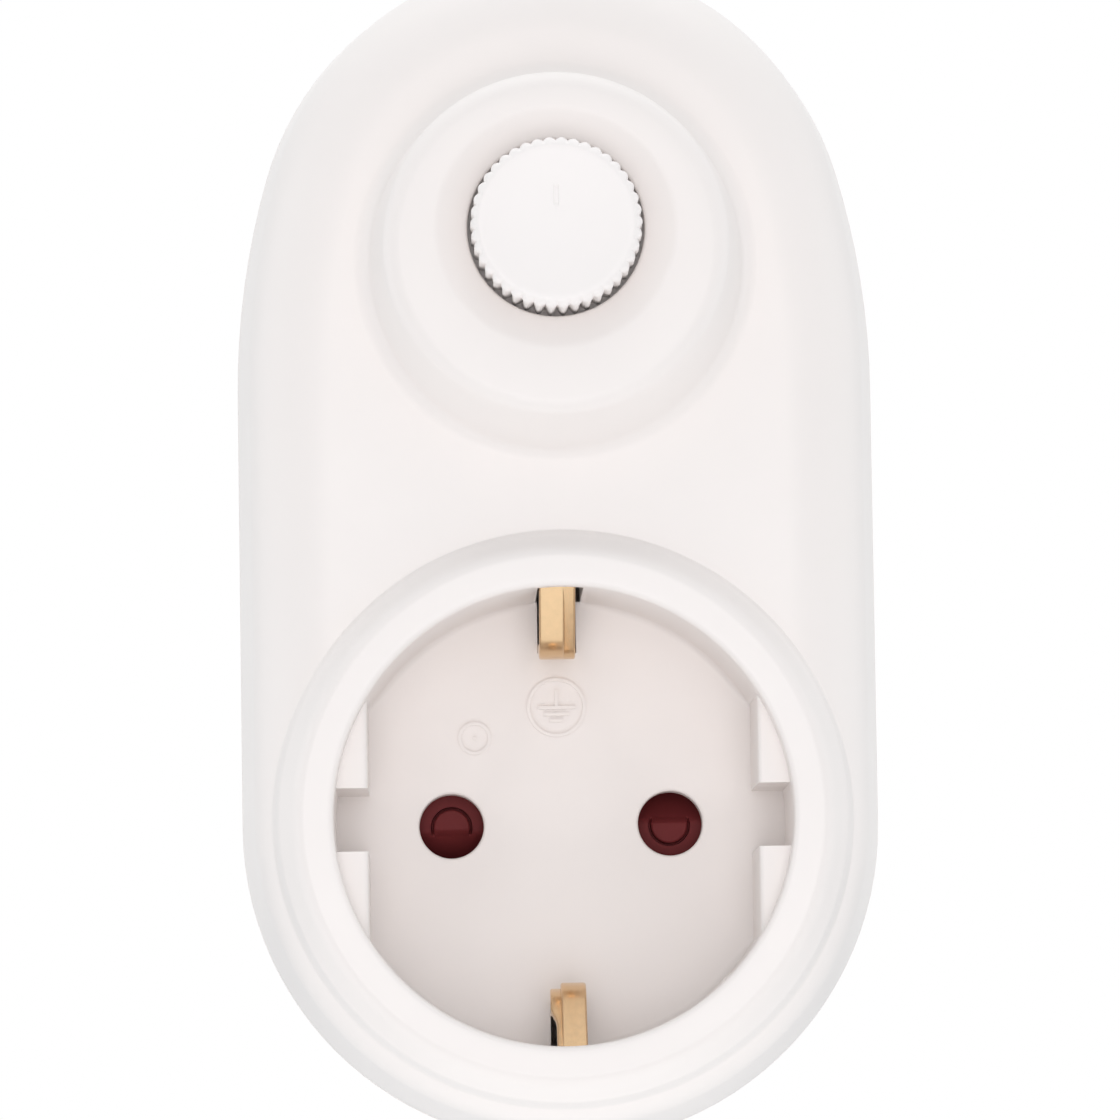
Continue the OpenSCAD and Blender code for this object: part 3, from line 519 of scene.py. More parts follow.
def boss_profile(angle):
    """Points down the boss at one angle: plateau's edge, rounded shoulder, slope, filleted foot."""
    out = Vector((math.cos(angle), math.sin(angle)))
    top = Vector((0, BOSS_TOP_UP)) + BOSS_TOP_R * out
    foot = Vector((0, BOSS_FOOT_UP)) + BOSS_FOOT_R * out
    run = (foot - top).dot(out)
    sideways = (foot - top) - run * out
    turn = math.pi / 2 - math.atan2(run, BOSS_H)
    reach = math.tan(turn / 2)
    section = []
    for t in spaced(0, turn, BOSS_ROUND_STEP):
        section.append((
            BOSS_SHOULDER_ROUND * (math.sin(t) - reach),
            BOSS_SHOULDER_ROUND * (math.cos(t) - 1),
        ))
    for t in spaced(turn, 0, BOSS_ROUND_STEP):
        section.append((
            run + BOSS_FOOT_ROUND * (reach - math.sin(t)),
            BOSS_FOOT_ROUND * (1 - math.cos(t)) - BOSS_H,
        ))
    points = []
    for outward, drop in section:
        flat = top + outward * out - sideways * drop / BOSS_H
        points.append((flat.x, flat.y, PLATEAU + drop))
    return points


BOSS_ANGLES = full_turn(BOSS_STEPS)


def add_boss(skin):
    """Boss with as many steps at each angle; gives the plateau's edge and the foot's outline."""
    profiles = [boss_profile(a) for a in BOSS_ANGLES]
    steps = min(len(p) for p in profiles)
    even = [resampled(p, steps) for p in profiles]
    skin.grid([[p[i] for p in even] for i in range(steps)], closed=True)
    return [p[0] for p in even], [p[-1][:2] for p in even]


def resampled(points, count):
    """The same run of points with another number of steps, at even shares of the list."""
    result = []
    for i in range(count):
        share = i * (len(points) - 1) / (count - 1)
        k = min(int(share), len(points) - 2)
        a, b = Vector(points[k]), Vector(points[k + 1])
        result.append(tuple(a.lerp(b, share - k)))
    return result


def add_plateau(skin, edge):
    """Flat top of the boss, the dish round the knob and the hole through it."""
    soft = DISH_SOFT
    slope = DISH_DEPTH / (DISH_R - KNOB_HOLE_R)
    floor = PLATEAU - DISH_DEPTH
    section = [
        (DISH_R + soft, PLATEAU),
        (DISH_R + soft / 3, PLATEAU - DISH_LIP),
        (DISH_R - soft / 3, PLATEAU - slope * soft / 2),
        (DISH_R - soft, PLATEAU - slope * soft),
        (KNOB_HOLE_R + soft, floor + slope * soft),
        (KNOB_HOLE_R + soft / 2, floor + slope * soft / 3),
        (KNOB_HOLE_R + soft / 6, floor - soft / 4),
        (KNOB_HOLE_R, floor - soft),
        (KNOB_HOLE_R, PLATEAU - HOLE_DEPTH),
        (BOSS_ROOM_R, PLATEAU - HOLE_DEPTH),
        (BOSS_ROOM_R, CEILING),
    ]
    rings = [[(*polar(r, a, KNOB_UP), h) for a in BOSS_ANGLES] for r, h in section]
    between = [tuple(Vector(a).lerp(Vector(b), 0.5)) for a, b in zip(edge, rings[0])]
    skin.grid([edge, between] + rings, closed=True)


def on_flat(x, up):
    """Whether a point of the front face is clear of edge, collar and boss."""
    return (
        inset_at(x, up) > EDGE_INSET + FILL_CLEAR
        and math.hypot(x, up) > COLLAR_REACH + FILL_CLEAR
        and math.hypot(x, up - BOSS_FOOT_UP) > BOSS_FOOT_R + FOOT_CLEAR
    )


def add_face(skin, boss_foot):
    """Front face between collar, rounded edge and boss."""
    reach = HALF_W - COLLAR_REACH
    over_top = inset_curve(UPPER_OUTLINE, reach)
    collar = [polar(COLLAR_REACH, a) for a in UPPER]
    loop = over_top + collar[-2:0:-1]
    points = []
    for inset in [EDGE_INSET - EDGE_R * math.cos(t) for t in turns(*FACE_TURNS)] + [EDGE_INSET]:
        curve = inset_curve(UPPER_OUTLINE, inset)
        points += [p for p in curve if math.hypot(*p) > COLLAR_REACH + RING_CLEAR]
    for x in spaced(-HALF_W, HALF_W, FILL_STEP):
        points += [(x, up) for up in spaced(0, KNOB_UP + CROWN_R, FILL_STEP) if on_flat(x, up)]
    points = [p for p in points if inset_at(*p) > reach + LOOP_CLEAR]
    skin.fill([loop, boss_foot], front_height, points)


def add_well_wall(skin):
    """Rounded mouth, round wall, cheeks with their notches, and the slots behind the clips."""
    mouth = []
    for t in turns(90, 0, QUARTER_STEP):
        r = WELL_R + MOUTH_ROUND * (1 - math.cos(t))
        mouth.append((r, RIM - MOUTH_ROUND * (1 - math.sin(t))))
    mouth.append((WELL_R, SLOT_TOP))
    skin.grid([[(*polar(r, a), h) for a in AROUND] for r, h in mouth], closed=True)
    for kind, arc in ARCS:
        wall = [polar(WELL_R, a) for a in arc]
        if kind == "notch":
            skin.grid([raised(wall, h) for h in (SLOT_TOP, CHEEK_TOP, WELL_FLOOR)])
        elif kind == "wall":
            skin.grid([wall_column(a, arc) for a in arc])
        elif kind == "cheek":
            skin.grid([raised(wall, h) for h in (SLOT_TOP, CHEEK_TOP)])
            add_cheek(skin, arc)
        else:
            add_slot(skin, arc)


def fillet_at(angle, arc):
    """Rounding between wall and floor, fading out towards the ends of its stretch of wall."""
    room = min(angle - arc[0], arc[-1] - angle) / FILLET_FADE
    return FLOOR_FILLET * math.sqrt(clamped(room))


def wall_column(angle, arc):
    """Points from the slots' top down the round wall and through the rounding to the floor."""
    soft = fillet_at(angle, arc)
    section = [(WELL_R, SLOT_TOP), (WELL_R, CHEEK_TOP)]
    for t in turns(0, 90, QUARTER_STEP):
        section.append((WELL_R - soft * (1 - math.cos(t)), WELL_FLOOR + soft * (1 - math.sin(t))))
    return [(*polar(r, angle), height) for r, height in section]


def cheek_column(angle):
    """Points from the round wall over the cheek's ledge and down its flat side."""
    x, up = polar(WELL_R, angle)
    side = math.copysign(1, x)
    soft = min(CHEEK_ROUND, abs(x) - CHEEK_X)
    column = [(x, up, CHEEK_TOP)]
    for t in turns(0, 90, QUARTER_STEP):
        across = CHEEK_X + soft * (1 - math.sin(t))
        column.append((side * across, up, CHEEK_TOP - soft * (1 - math.cos(t))))
    column.append((side * CHEEK_X, up, WELL_FLOOR))
    return column


def add_cheek(skin, arc):
    """Ledge and flat side of a cheek, and its end at the notch."""
    columns = [cheek_column(a) for a in arc]
    skin.grid(columns)
    for column in (columns[0], columns[-1]):
        x, up, _ = column[0]
        if math.isclose(abs(up), NOTCH_HALF):
            skin.face(column + [(x, up, WELL_FLOOR)])


def slot_back(side, steps):
    """Points across the back of the upper (side 1) or lower clip slot, in the wall's direction."""
    half = math.asin(SLOT_HALF / TUBE_R)
    middle = side * math.pi / 2
    return [polar(TUBE_R, middle - half + 2 * half * i / steps) for i in range(steps + 1)]


def cut_corners(side):
    """Corners of the floor's cut for a clip inside the well, the same way round as the wall."""
    wall_up = math.sqrt(WELL_R ** 2 - SLOT_HALF ** 2)
    corners = [
        (SLOT_HALF, wall_up), (CUT_RIGHT[side], wall_up), (CUT_RIGHT[side], CUT_INNER),
        (-CUT_LEFT, CUT_INNER), (-CUT_LEFT, wall_up),
    ]
    return [(side * x, side * up) for x, up in corners]


def slot_side(arc):
    """Side of a clip slot: 1 above the well's axis, -1 below it."""
    return 1 if math.sin(arc[0]) > 0 else -1


def add_slot(skin, arc):
    """Slot through the well's wall and floor, open to the inside."""
    side = slot_side(arc)
    inner = [polar(WELL_R, a) for a in arc]
    outer = slot_back(side, len(inner) - 1)
    skin.grid([raised(inner, SLOT_TOP), raised(outer, SLOT_TOP), raised(outer, CEILING)])
    for end in (0, -1):
        wall, back = inner[end], outer[end]
        skin.face([
            (*wall, SLOT_TOP), (*back, SLOT_TOP), (*back, CEILING),
            (*back, WELL_FLOOR), (*wall, WELL_FLOOR), (*wall, CHEEK_TOP),
        ])
    edge = [outer[0]] + cut_corners(side) + [inner[-1], outer[-1]]
    skin.grid([raised(edge, WELL_FLOOR), raised(edge, FLOOR_BACK)])


def well_outline():
    """Inside of the well at its floor."""
    loop = []
    for kind, arc in ARCS:
        if kind == "slot":
            loop += cut_corners(slot_side(arc))
        elif kind == "cheek":
            ends = [polar(WELL_R, a) for a in arc]
            chord = [(math.copysign(CHEEK_X, x), up) for x, up in ends]
            towards_notch = abs(ends[0][1]) > abs(ends[-1][1])
            loop += chord if towards_notch else [ends[0]] + chord[:-1]
        elif kind == "wall":
            loop += [polar(WELL_R - fillet_at(a, arc), a) for a in arc[:-1]]
        else:
            loop += [polar(WELL_R, a) for a in arc[:-1]]
    return loop


def tube_arc(side):
    """Outside of the well's tube on the right (side 1) or the left (side -1), from slot to slot."""
    half = math.asin(SLOT_HALF / TUBE_R)
    start = -side * math.pi / 2
    return [polar(TUBE_R, a) for a in spaced(start + half, start + math.pi - half, ANGLE_STEP * 2)]


def tube_outline():
    """Outside of the well's tube, with the clip slots cut in."""
    loop = []
    for side in (1, -1):
        loop += tube_arc(side) + cut_corners(side) + [(-side * SLOT_HALF, cut_corners(side)[0][1])]
    return loop


def add_bar(skin, x, up, half_w, half_h):
    """A low bar on the well's floor."""
    corners = [(x + across * half_w, up + along * half_h)
               for across, along in ((-1, -1), (1, -1), (1, 1), (-1, 1))]
    skin.solid([raised(corners, WELL_FLOOR - LINE_H), raised(corners, WELL_FLOOR + LINE_H)])


def add_ring(skin, centre, r):
    """A low ring on the well's floor."""
    inner, outer = circle(r - LINE_W / 2, centre), circle(r + LINE_W / 2, centre)
    foot, top = WELL_FLOOR - LINE_H, WELL_FLOOR + LINE_H
    loops = ((outer, foot), (outer, top), (inner, top), (inner, foot), (outer, foot))
    skin.grid([raised(loop, h) for loop, h in loops], closed=True)


def add_floor_marks(skin):
    """Earth sign in a ring and the ejector pin's mark."""
    x, up = EARTH_AT
    add_ring(skin, EARTH_AT, EARTH_RING_R)
    for height, half_w in EARTH_BARS:
        add_bar(skin, x, up + height, half_w, LINE_W / 2)
    stem = (EARTH_STEM_TOP - LINE_W / 2) / 2
    add_bar(skin, x, up + LINE_W / 2 + stem, LINE_W / 2, stem)
    add_ring(skin, EJECTOR_AT, EJECTOR_R)
    add_bar(skin, *EJECTOR_AT, LINE_W / 2, LINE_W / 2)


def add_post(skin, centre, r, start, end, bore=0):
    """A round post on the inside, with a blind screw hole in its free end if it has one."""
    section = [(r, end), (r, start)]
    if bore:
        section += [(bore, start), (bore, end - BORE_STOP)]
    skin.solid([raised(circle(radius, centre), h) for radius, h in section])


def add_posts(skin):
    """Pivot of the shutter, posts of the contact carrier and posts of the housing's screws."""
    floor_end = FLOOR_BACK + POST_EMBED
    add_post(skin, (0, 0), PIVOT_R, PIVOT_FOOT, floor_end)
    for side in (-1, 1):
        carrier = (side * POST_AT[0], side * POST_AT[1])
        add_post(skin, carrier, POST_R, CARRIER_FRONT, floor_end, POST_BORE)
        lower = (side * LOWER_SCREW[0], LOWER_SCREW[1])
        add_post(skin, lower, SCREW_POST_R, FLOOR_BACK, LOWER_POST_END, SCREW_BORE)
        upper = (side * UPPER_SCREW[0], UPPER_SCREW[1])
        add_post(skin, upper, SCREW_POST_R, UPPER_POST_FOOT, CEILING + POST_EMBED, SCREW_BORE)


def add_floor(skin):
    """Floor of the well with its two pin holes, their rounded edges and the floor's back."""
    holes = [(side * PIN_X, 0.0) for side in (-1, 1)]
    mouths = [circle(HOLE_R + HOLE_ROUND, hole) for hole in holes]
    skin.fill([well_outline()] + mouths, lambda x, up: WELL_FLOOR)
    backs = [circle(HOLE_R, hole) for hole in holes]
    skin.fill([tube_outline()] + backs, lambda x, up: FLOOR_BACK)
    section = []
    for t in turns(90, 0, SMALL_STEP):
        r = HOLE_R + HOLE_ROUND * (1 - math.cos(t))
        section.append((r, WELL_FLOOR - HOLE_ROUND * (1 - math.sin(t))))
    section.append((HOLE_R, FLOOR_BACK))
    for hole in holes:
        skin.grid([raised(circle(r, hole), h) for r, h in section], closed=True)


def add_room(skin):
    """Inside of the housing half: sides, ceiling and the outside of the well's tube."""
    seam = inset_curve(OUTLINE, SEAM_ROUND)
    steps = [(ROOM_INSET, PARTING), (ROOM_INSET, ROOM_SIDE), (ROOM_TOP_INSET, CEILING)]
    rows = [raised(seam, PARTING)]
    rows += [raised(inset_curve(OUTLINE, inset), h) for inset, h in steps]
    skin.grid(rows, closed=True)
    slot_steps = [len(arc) - 1 for kind, arc in ARCS if kind == "slot"][0]
    tube = []
    for side in (1, -1):
        arc = tube_arc(side)
        skin.grid([raised(arc, h) for h in (CEILING, WELL_FLOOR, FLOOR_BACK)])
        tube += arc + slot_back(side, slot_steps)[1:-1]
    boss_room = [polar(BOSS_ROOM_R, a, KNOB_UP) for a in BOSS_ANGLES]
    skin.fill([inset_curve(OUTLINE, ROOM_TOP_INSET), tube, boss_room], lambda x, up: CEILING)


def front_moulding(material):
    skin = Moulding()
    add_collar(skin)
    add_flank(skin)
    plateau_edge, foot = add_boss(skin)
    add_plateau(skin, plateau_edge)
    add_face(skin, foot)
    add_well_wall(skin)
    add_floor(skin)
    add_floor_marks(skin)
    add_room(skin)
    add_posts(skin)
    return skin.build("front_moulding", material, FRONT_SHARP)


# Knob
KNOB_ANGLES = full_turn(KNOB_TEETH * RIB_STEPS)


def knob_ring(height, r):
    """Outline of the knob at one height: rounded ribs between grooves that deepen from the face."""
    drop = KNOB_FACE - height
    depth = min(KNURL_DEEP, KNURL_START + KNURL_GROWTH * drop) * min(1, drop / KNURL_START)
    ring = []
    for angle in KNOB_ANGLES:
        groove = 1 - abs(math.cos(KNOB_TEETH * angle / 2))
        ring.append((*polar(r - depth * groove, angle, KNOB_UP), height))
    return ring


def round_ring(height, r):
    """A plain circle with as many points as a ribbed outline."""
    return [(*polar(r, angle, KNOB_UP), height) for angle in KNOB_ANGLES]


def face_ring(r, hollow_r):
    """Ring on the knob's hollow face, sunk where the index mark runs."""
    ring = []
    hollow = KNOB_FACE - KNOB_HOLLOW * (1 - min(1, r / hollow_r) ** 2)
    for x, up, height in round_ring(hollow, r):
        out = up - KNOB_UP
        beside = clamped((MARK_HALF_W + MARK_SOFT / 2 - abs(x)) / MARK_SOFT)
        along = clamped(min(out - MARK_FROM, MARK_TO - out) / MARK_SOFT)
        ring.append((x, up, height - MARK_DEPTH * beside * along))
    return ring


def ribbed_knob(material):
    """Knob: hollow face, rounded edge that the ribs run out in, and the flange behind the dish."""
    skin = Moulding()
    edge_r = KNOB_R - KNOB_ROUND
    face_radii = [KNOB_CENTRE_R] + spaced(MARK_FROM - MARK_SOFT, edge_r, KNOB_FACE_STEP)
    rows = [face_ring(r, edge_r - HOLLOW_RIM) for r in face_radii]
    for t in turns(KNOB_ROUND_STEP, 90, KNOB_ROUND_STEP):
        height = KNOB_FACE - KNOB_ROUND * (1 - math.cos(t))
        rows.append(knob_ring(height, edge_r + KNOB_ROUND * math.sin(t)))
    side_heights = spaced(KNOB_FACE - KNOB_ROUND, FLANGE_TOP, KNOB_SIDE_STEP)[1:]
    rows += [knob_ring(height, KNOB_R) for height in side_heights]
    foot = FLANGE_TOP - FLANGE_T
    rows += [round_ring(FLANGE_TOP, FLANGE_R), round_ring(foot, FLANGE_R)]
    rows += [knob_ring(foot, KNOB_R), knob_ring(KNOB_BOTTOM, KNOB_R)]
    skin.solid(rows)
    return skin.build("ribbed_knob", material, SHARP)


# Earth strips


def strip_path(seat, hump_r, set_back):
    """Inner side of a clip as (up, forward): out of the floor, over the hump, back under the rim."""
    centre_up = CLIP_INNER + set_back + hump_r
    reach = Vector((CLIP_END[0] - centre_up, CLIP_END[1] - HUMP_AT))
    lead_in = math.atan2(reach.x, reach.y) + math.asin(hump_r / reach.length)
    hump = []
    for turn in spaced(-HUMP_BACK, lead_in, HUMP_STEP):
        hump.append((centre_up - hump_r * math.cos(turn), HUMP_AT + hump_r * math.sin(turn)))
    foot = [(seat, CLIP_FOOT), (seat, WELL_FLOOR)]
    lead = Vector(hump[-1])
    straight = [tuple(lead.lerp(Vector(CLIP_END), share)) for share in spaced(0, 1, LEAD_STEP)[1:]]
    return foot + hump + straight


def path_normals(path):
    """Unit normals of a path of (up, forward), away from the well's axis."""
    normals = []
    for i in range(len(path)):
        before, after = Vector(path[max(i - 1, 0)]), Vector(path[min(i + 1, len(path) - 1)])
        along = (after - before).normalized()
        normals.append(Vector((along.y, -along.x)))
    return normals


def strip_section(left, right):
    """Cross-section of a strip as (across, outward), with rounded edges."""
    corners = ((right, 0, 270), (right, STRIP_T, 0), (left, STRIP_T, 90), (left, 0, 180))
    points = []
    for x, out, start in corners:
        centre_x = x - math.copysign(STRIP_ROUND, x - (left + right) / 2)
        centre_out = out - math.copysign(STRIP_ROUND, out - STRIP_T / 2)
        for t in turns(start, start + 90, QUARTER_STEP):
            dx, dout = polar(STRIP_ROUND, t)
            points.append((centre_x + dx, centre_out + dout))
    return points


def wing_edge(forward, side):
    """Right edge of a clip's wing at one height, from the floor over the hump to the lead-in."""
    at_floor, at_hump, at_lead = WING_EDGE[side]
    rise = clamped((forward - WELL_FLOOR) / (HUMP_AT - WELL_FLOOR))
    step = clamped((forward - WING_STEP_AT) / WING_STEP_RUN)
    return at_floor + (at_hump - at_floor) * rise + (at_lead - at_hump) * step


def add_strip(skin, path, left, rights, side):
    """A strip bent along a path, with its right edge at each point; side -1 is turned half round."""
    rows = []
    for (up, forward), normal, right in zip(path, path_normals(path), rights):
        row = []
        for x, out in strip_section(left, right):
            row.append((side * x, side * (up + out * normal.x), forward + out * normal.y))
        rows.append(row)
    skin.solid(rows)


def earth_strip(end, material, side):
    """Plug contact, run through the housing, and clip with its wing."""
    skin = Moulding()
    run = [(STRIP_SEAT, STRIP_BACK), (STRIP_SEAT, CARRIER_FRONT)]
    add_strip(skin, run, -STRIP_HALF, [STRIP_HALF] * len(run), side)
    clip = strip_path(CLIP_SEAT, HUMP_R, 0)
    add_strip(skin, clip, CLIP_LEFT, [WING_AT] * len(clip), side)
    wing = strip_path(WING_SEAT, *WING_HUMP[side])
    add_strip(skin, wing, WING_LEFT, [wing_edge(forward, side) for _, forward in wing], side)
    return skin.build("earth_clip_" + end, material, SHARP)


# Child shutter


def pad_height(r, along):
    """Height of a shutter pad at this radius, and this far along towards the end of its ramp."""
    level = 0
    for (a, low), (b, high) in zip(DISC_SECTION, DISC_SECTION[1:]):
        if a <= r < b:
            level = low + (high - low) * (r - a) / (b - a)
    drop = RAMP_SLOPE * smooth_max(along - RAMP_AT, 0, RAMP_SOFT)
    shown = clamped((RAMP_AT + RAMP_FADE - along) / (2 * RAMP_FADE))
    return SHUTTER_TOP + max(level * shown - drop, PAD_LIP - SHUTTER_T)


def add_pad(skin, side):
    """Pad on the right (side 1) with its ramp above, or on the left with its ramp below."""
    radii = spaced(PAD_CENTRE_R, DISC_R - DISC_BEVEL, PAD_STEP)
    radii += spaced(DISC_R, GROOVE_END_R, GROOVE_WALL) + spaced(GROOVE_END_R, PAD_R, PAD_STEP)[1:]
    rows = []
    for r in radii:
        ring = circle(r, (0, 0))
        rows.append([(side * (PIN_X + x), side * up, pad_height(r, up)) for x, up in ring])
    rows.append([(x, up, SHUTTER_BACK) for x, up, _ in rows[-1]])
    skin.solid(rows)


def add_arm(skin, side):
    """Flat arm from the hub to a pad."""
    start, end = side * HUB_R / 2, side * (PIN_X - PAD_R + ARM_LAP)
    corners = [(start, -PAD_R), (end, -PAD_R), (end, PAD_R), (start, PAD_R)]
    skin.solid([raised(corners, SHUTTER_BACK), raised(corners, SHUTTER_TOP)])


def turning_shutter(material):
    """Two arms on a hub, each with its pad."""
    skin = Moulding()
    for side in (-1, 1):
        add_pad(skin, side)
        add_arm(skin, side)
    low, high = SHUTTER_BACK - HUB_RISE, SHUTTER_TOP + HUB_RISE
    bore = PIVOT_R + PIVOT_PLAY
    section = ((bore, low), (HUB_R, low), (HUB_R, high), (bore, high), (bore, low))
    skin.grid([raised(circle(r, (0, 0)), h) for r, h in section], closed=True)
    return skin.build("turning_shutter", material, SHUTTER_SHARP)


# Materials: each noise as (scale, detail), and the depth of the bumps in metres
CLOUDS = (60, 4)
GLOSS_PATCHES = (240, 2)
GRAIN = (3200, 2)
STREAKS = (1500, 3)
STREAK_STRETCH = (1, 0.06, 1)
WAVES = (400, 2)
GLASS_WAVES = (300, 2)
PAPER = (400, 3)
BUMP_DEPTH = 0.00004
GLASS_DEPTH = 0.00003
PAPER_DEPTH = 0.0002
# Strength of the bumps
WAVE_BUMP = 0.1
GLASS_BUMP = 0.05
PAPER_BUMP = 0.03
# Where a noise is darkest and lightest, and how far its shade and roughness go
SHADE_AT = (0.3, 0.7)
METAL_SHADES = (0.95, 1.04)
METAL_UNEVEN = (-0.08, 0.1)
PLASTIC_UNEVEN = (-0.06, 0.06)
GLASS_ROUGHNESS = 0.05
GLASS_IOR = 1.5
PAPER_ROUGHNESS = 0.7


def new_material(name, colour, roughness, metallic=0.0):
    """A material and its Principled shader."""
    material = bpy.data.materials.new(name)
    material.use_nodes = True
    shader = material.node_tree.nodes["Principled BSDF"]
    shader.inputs["Base Color"].default_value = (*colour, 1)
    shader.inputs["Roughness"].default_value = roughness
    shader.inputs["Metallic"].default_value = metallic
    return material, shader


def noise(material, scale, detail, stretch=(1, 1, 1)):
    """A noise texture on the object's own coordinates."""
    nodes, links = material.node_tree.nodes, material.node_tree.links
    coordinates = nodes.new("ShaderNodeTexCoord")
    mapping = nodes.new("ShaderNodeMapping")
    mapping.inputs["Scale"].default_value = stretch
    texture = nodes.new("ShaderNodeTexNoise")
    texture.inputs["Scale"].default_value = scale
    texture.inputs["Detail"].default_value = detail
    links.new(coordinates.outputs["Object"], mapping.inputs["Vector"])
    links.new(mapping.outputs["Vector"], texture.inputs["Vector"])
    return texture.outputs["Fac"]


def tinted(colour, factor):
    return tuple(min(1.0, c * factor) for c in colour)


def shade(material, shader, value, colour, factors):
    """Base colour that goes from a darker to a lighter tint with a value."""
    node = material.node_tree.nodes.new("ShaderNodeValToRGB")
    for element, position, factor in zip(node.color_ramp.elements, SHADE_AT, factors):
        element.position = position
        element.color = (*tinted(colour, factor), 1)
    material.node_tree.links.new(value, node.inputs["Fac"])
    material.node_tree.links.new(node.outputs["Color"], shader.inputs["Base Color"])


def roughen(material, shader, value, roughness, spread):
    """Roughness that goes from below to above its mean with a value."""
    node = material.node_tree.nodes.new("ShaderNodeMapRange")
    node.inputs["To Min"].default_value = roughness + spread[0]
    node.inputs["To Max"].default_value = roughness + spread[1]
    material.node_tree.links.new(value, node.inputs["Value"])
    material.node_tree.links.new(node.outputs["Result"], shader.inputs["Roughness"])


def bump(material, shader, value, strength, depth):
    """Bump of the surface with a value, at a depth in metres."""
    node = material.node_tree.nodes.new("ShaderNodeBump")
    node.inputs["Strength"].default_value = strength
    node.inputs["Distance"].default_value = depth
    material.node_tree.links.new(value, node.inputs["Height"])
    material.node_tree.links.new(node.outputs["Normal"], shader.inputs["Normal"])


def plastic(name, colour, roughness, mottle, grain, gloss=0.5):
    """Moulded plastic: faint cloudy shade, fine spark-eroded grain, uneven gloss."""
    material, shader = new_material(name, colour, roughness)
    shader.inputs["Specular IOR Level"].default_value = gloss
    shade(material, shader, noise(material, *CLOUDS), colour, (1 - mottle, 1 + mottle))
    roughen(material, shader, noise(material, *GLOSS_PATCHES), roughness, PLASTIC_UNEVEN)
    bump(material, shader, noise(material, *GRAIN), grain, BUMP_DEPTH)
    return material


def metal(name, colour, roughness):
    """Rolled or plated metal: faint streaks in colour and gloss, slightly wavy surface."""
    material, shader = new_material(name, colour, roughness, 1.0)
    lines = noise(material, *STREAKS, STREAK_STRETCH)
    shade(material, shader, lines, colour, METAL_SHADES)
    roughen(material, shader, lines, roughness, METAL_UNEVEN)
    bump(material, shader, noise(material, *WAVES), WAVE_BUMP, BUMP_DEPTH)
    return material


def glass(name, colour):
    """Clear glass with a slightly wavy surface."""
    material, shader = new_material(name, colour, GLASS_ROUGHNESS)
    shader.inputs["Transmission Weight"].default_value = 1.0
    shader.inputs["IOR"].default_value = GLASS_IOR
    bump(material, shader, noise(material, *GLASS_WAVES), GLASS_BUMP, GLASS_DEPTH)
    return material


def record_colours():
    """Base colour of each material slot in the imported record."""
    return {m["slot"]: tuple(m["base_color"][:3]) for m in frame["record"]["materials"]}


# Tints of the record's white and dark red, and roughness of the other slots
WHITE_WARMTH = (1.02, 0.995, 0.98)
SHUTTER_LIFT = 1.35
METALS = {
    "brass": 0.22, "nickel": 0.18, "steel": 0.32, "spring_steel": 0.3,
    "sink_aluminium": 0.38, "copper_winding": 0.3, "fuse_metal": 0.22,
}
GLOSSY = {
    "capacitor_red": 0.25, "diode_glass": 0.15,
    "lead_brown": 0.35, "lead_black": 0.35, "lead_blue": 0.35,
}
MATT = 0.5


def make_materials():
    """A finish for each material slot of the record."""
    made = {}
    for slot, colour in record_colours().items():
        name = slot + "_finish"
        if slot in METALS:
            made[slot] = metal(name, colour, METALS[slot])
        elif slot == "fuse_glass":
            made[slot] = glass(name, colour)
        elif slot in ("housing_plastic", "knob_plastic"):
            warm = tuple(c * w for c, w in zip(colour, WHITE_WARMTH))
            made[slot] = plastic(name, warm, roughness=0.36, mottle=0.008, grain=0.05)
        elif slot == "shutter_plastic":
            red = tinted(colour, SHUTTER_LIFT)
            made[slot] = plastic(name, red, roughness=0.55, mottle=0.05, grain=0.06, gloss=0.12)
        else:
            made[slot] = plastic(name, colour, GLOSSY.get(slot, MATT), mottle=0.06, grain=0.12)
    return made


def dress_nodes(materials):
    """Each CAD node's slots get the finish of the slot that the record names for it."""
    for node in frame["nodes"].values():
        for slot in node.material_slots:
            name = slot.material.name.split(".")[0] if slot.material else ""
            if name in materials:
                slot.material = materials[name]


# Stage, light and camera
CAMERA_AT = Vector((-0.0107, -0.698, -0.030))
CAMERA_TURN = math.radians(0.96)
CAMERA_TILT = math.radians(4.64)
CAMERA_ROLL = math.radians(0.85)
CAMERA_LENS = 242
SENSOR_W = 36
CLIP_START = 0.01
FLOOR_DROP = 0.4
FLOOR_HALF = 6.0
FLOOR_COLOUR = (0.86, 0.86, 0.86)
WORLD_LEVEL = 0.652
WORLD_TINT = (0.955, 1.015, 1.055)
WARM_LAMP = (1.0, 0.945, 0.94)
WHITE_LAMP = (1.0, 1.0, 1.0)
LIGHT_AIM = Vector((0, -0.05, 0.02))
# Name, degrees to the side and up, distance, size, power, colour, and whether it shows in reflections:
# the lamp above would be blown out in the lower clip
LAMPS = (
    ("front", 0, 0, 1.0, 0.5, 1.45, WARM_LAMP, True),
    ("front_low", 0, -17, 0.8, 0.4, 0.82, WARM_LAMP, True),
    ("left", -95, 0, 1.0, 1.0, 1.2, WHITE_LAMP, True),
    ("right", 95, 0, 1.0, 1.0, 1.1, WHITE_LAMP, True),
    ("above", 0, 95, 1.0, 1.0, 4.3, WHITE_LAMP, False),
    ("below", 0, -95, 0.35, 0.5, 0.25, WHITE_LAMP, True),
)


def sight_line(turn, tilt):
    """Direction that is turned to the right of +Y and tilted up by these angles."""
    return Vector((
        math.sin(turn) * math.cos(tilt),
        math.cos(turn) * math.cos(tilt),
        math.sin(tilt),
    ))


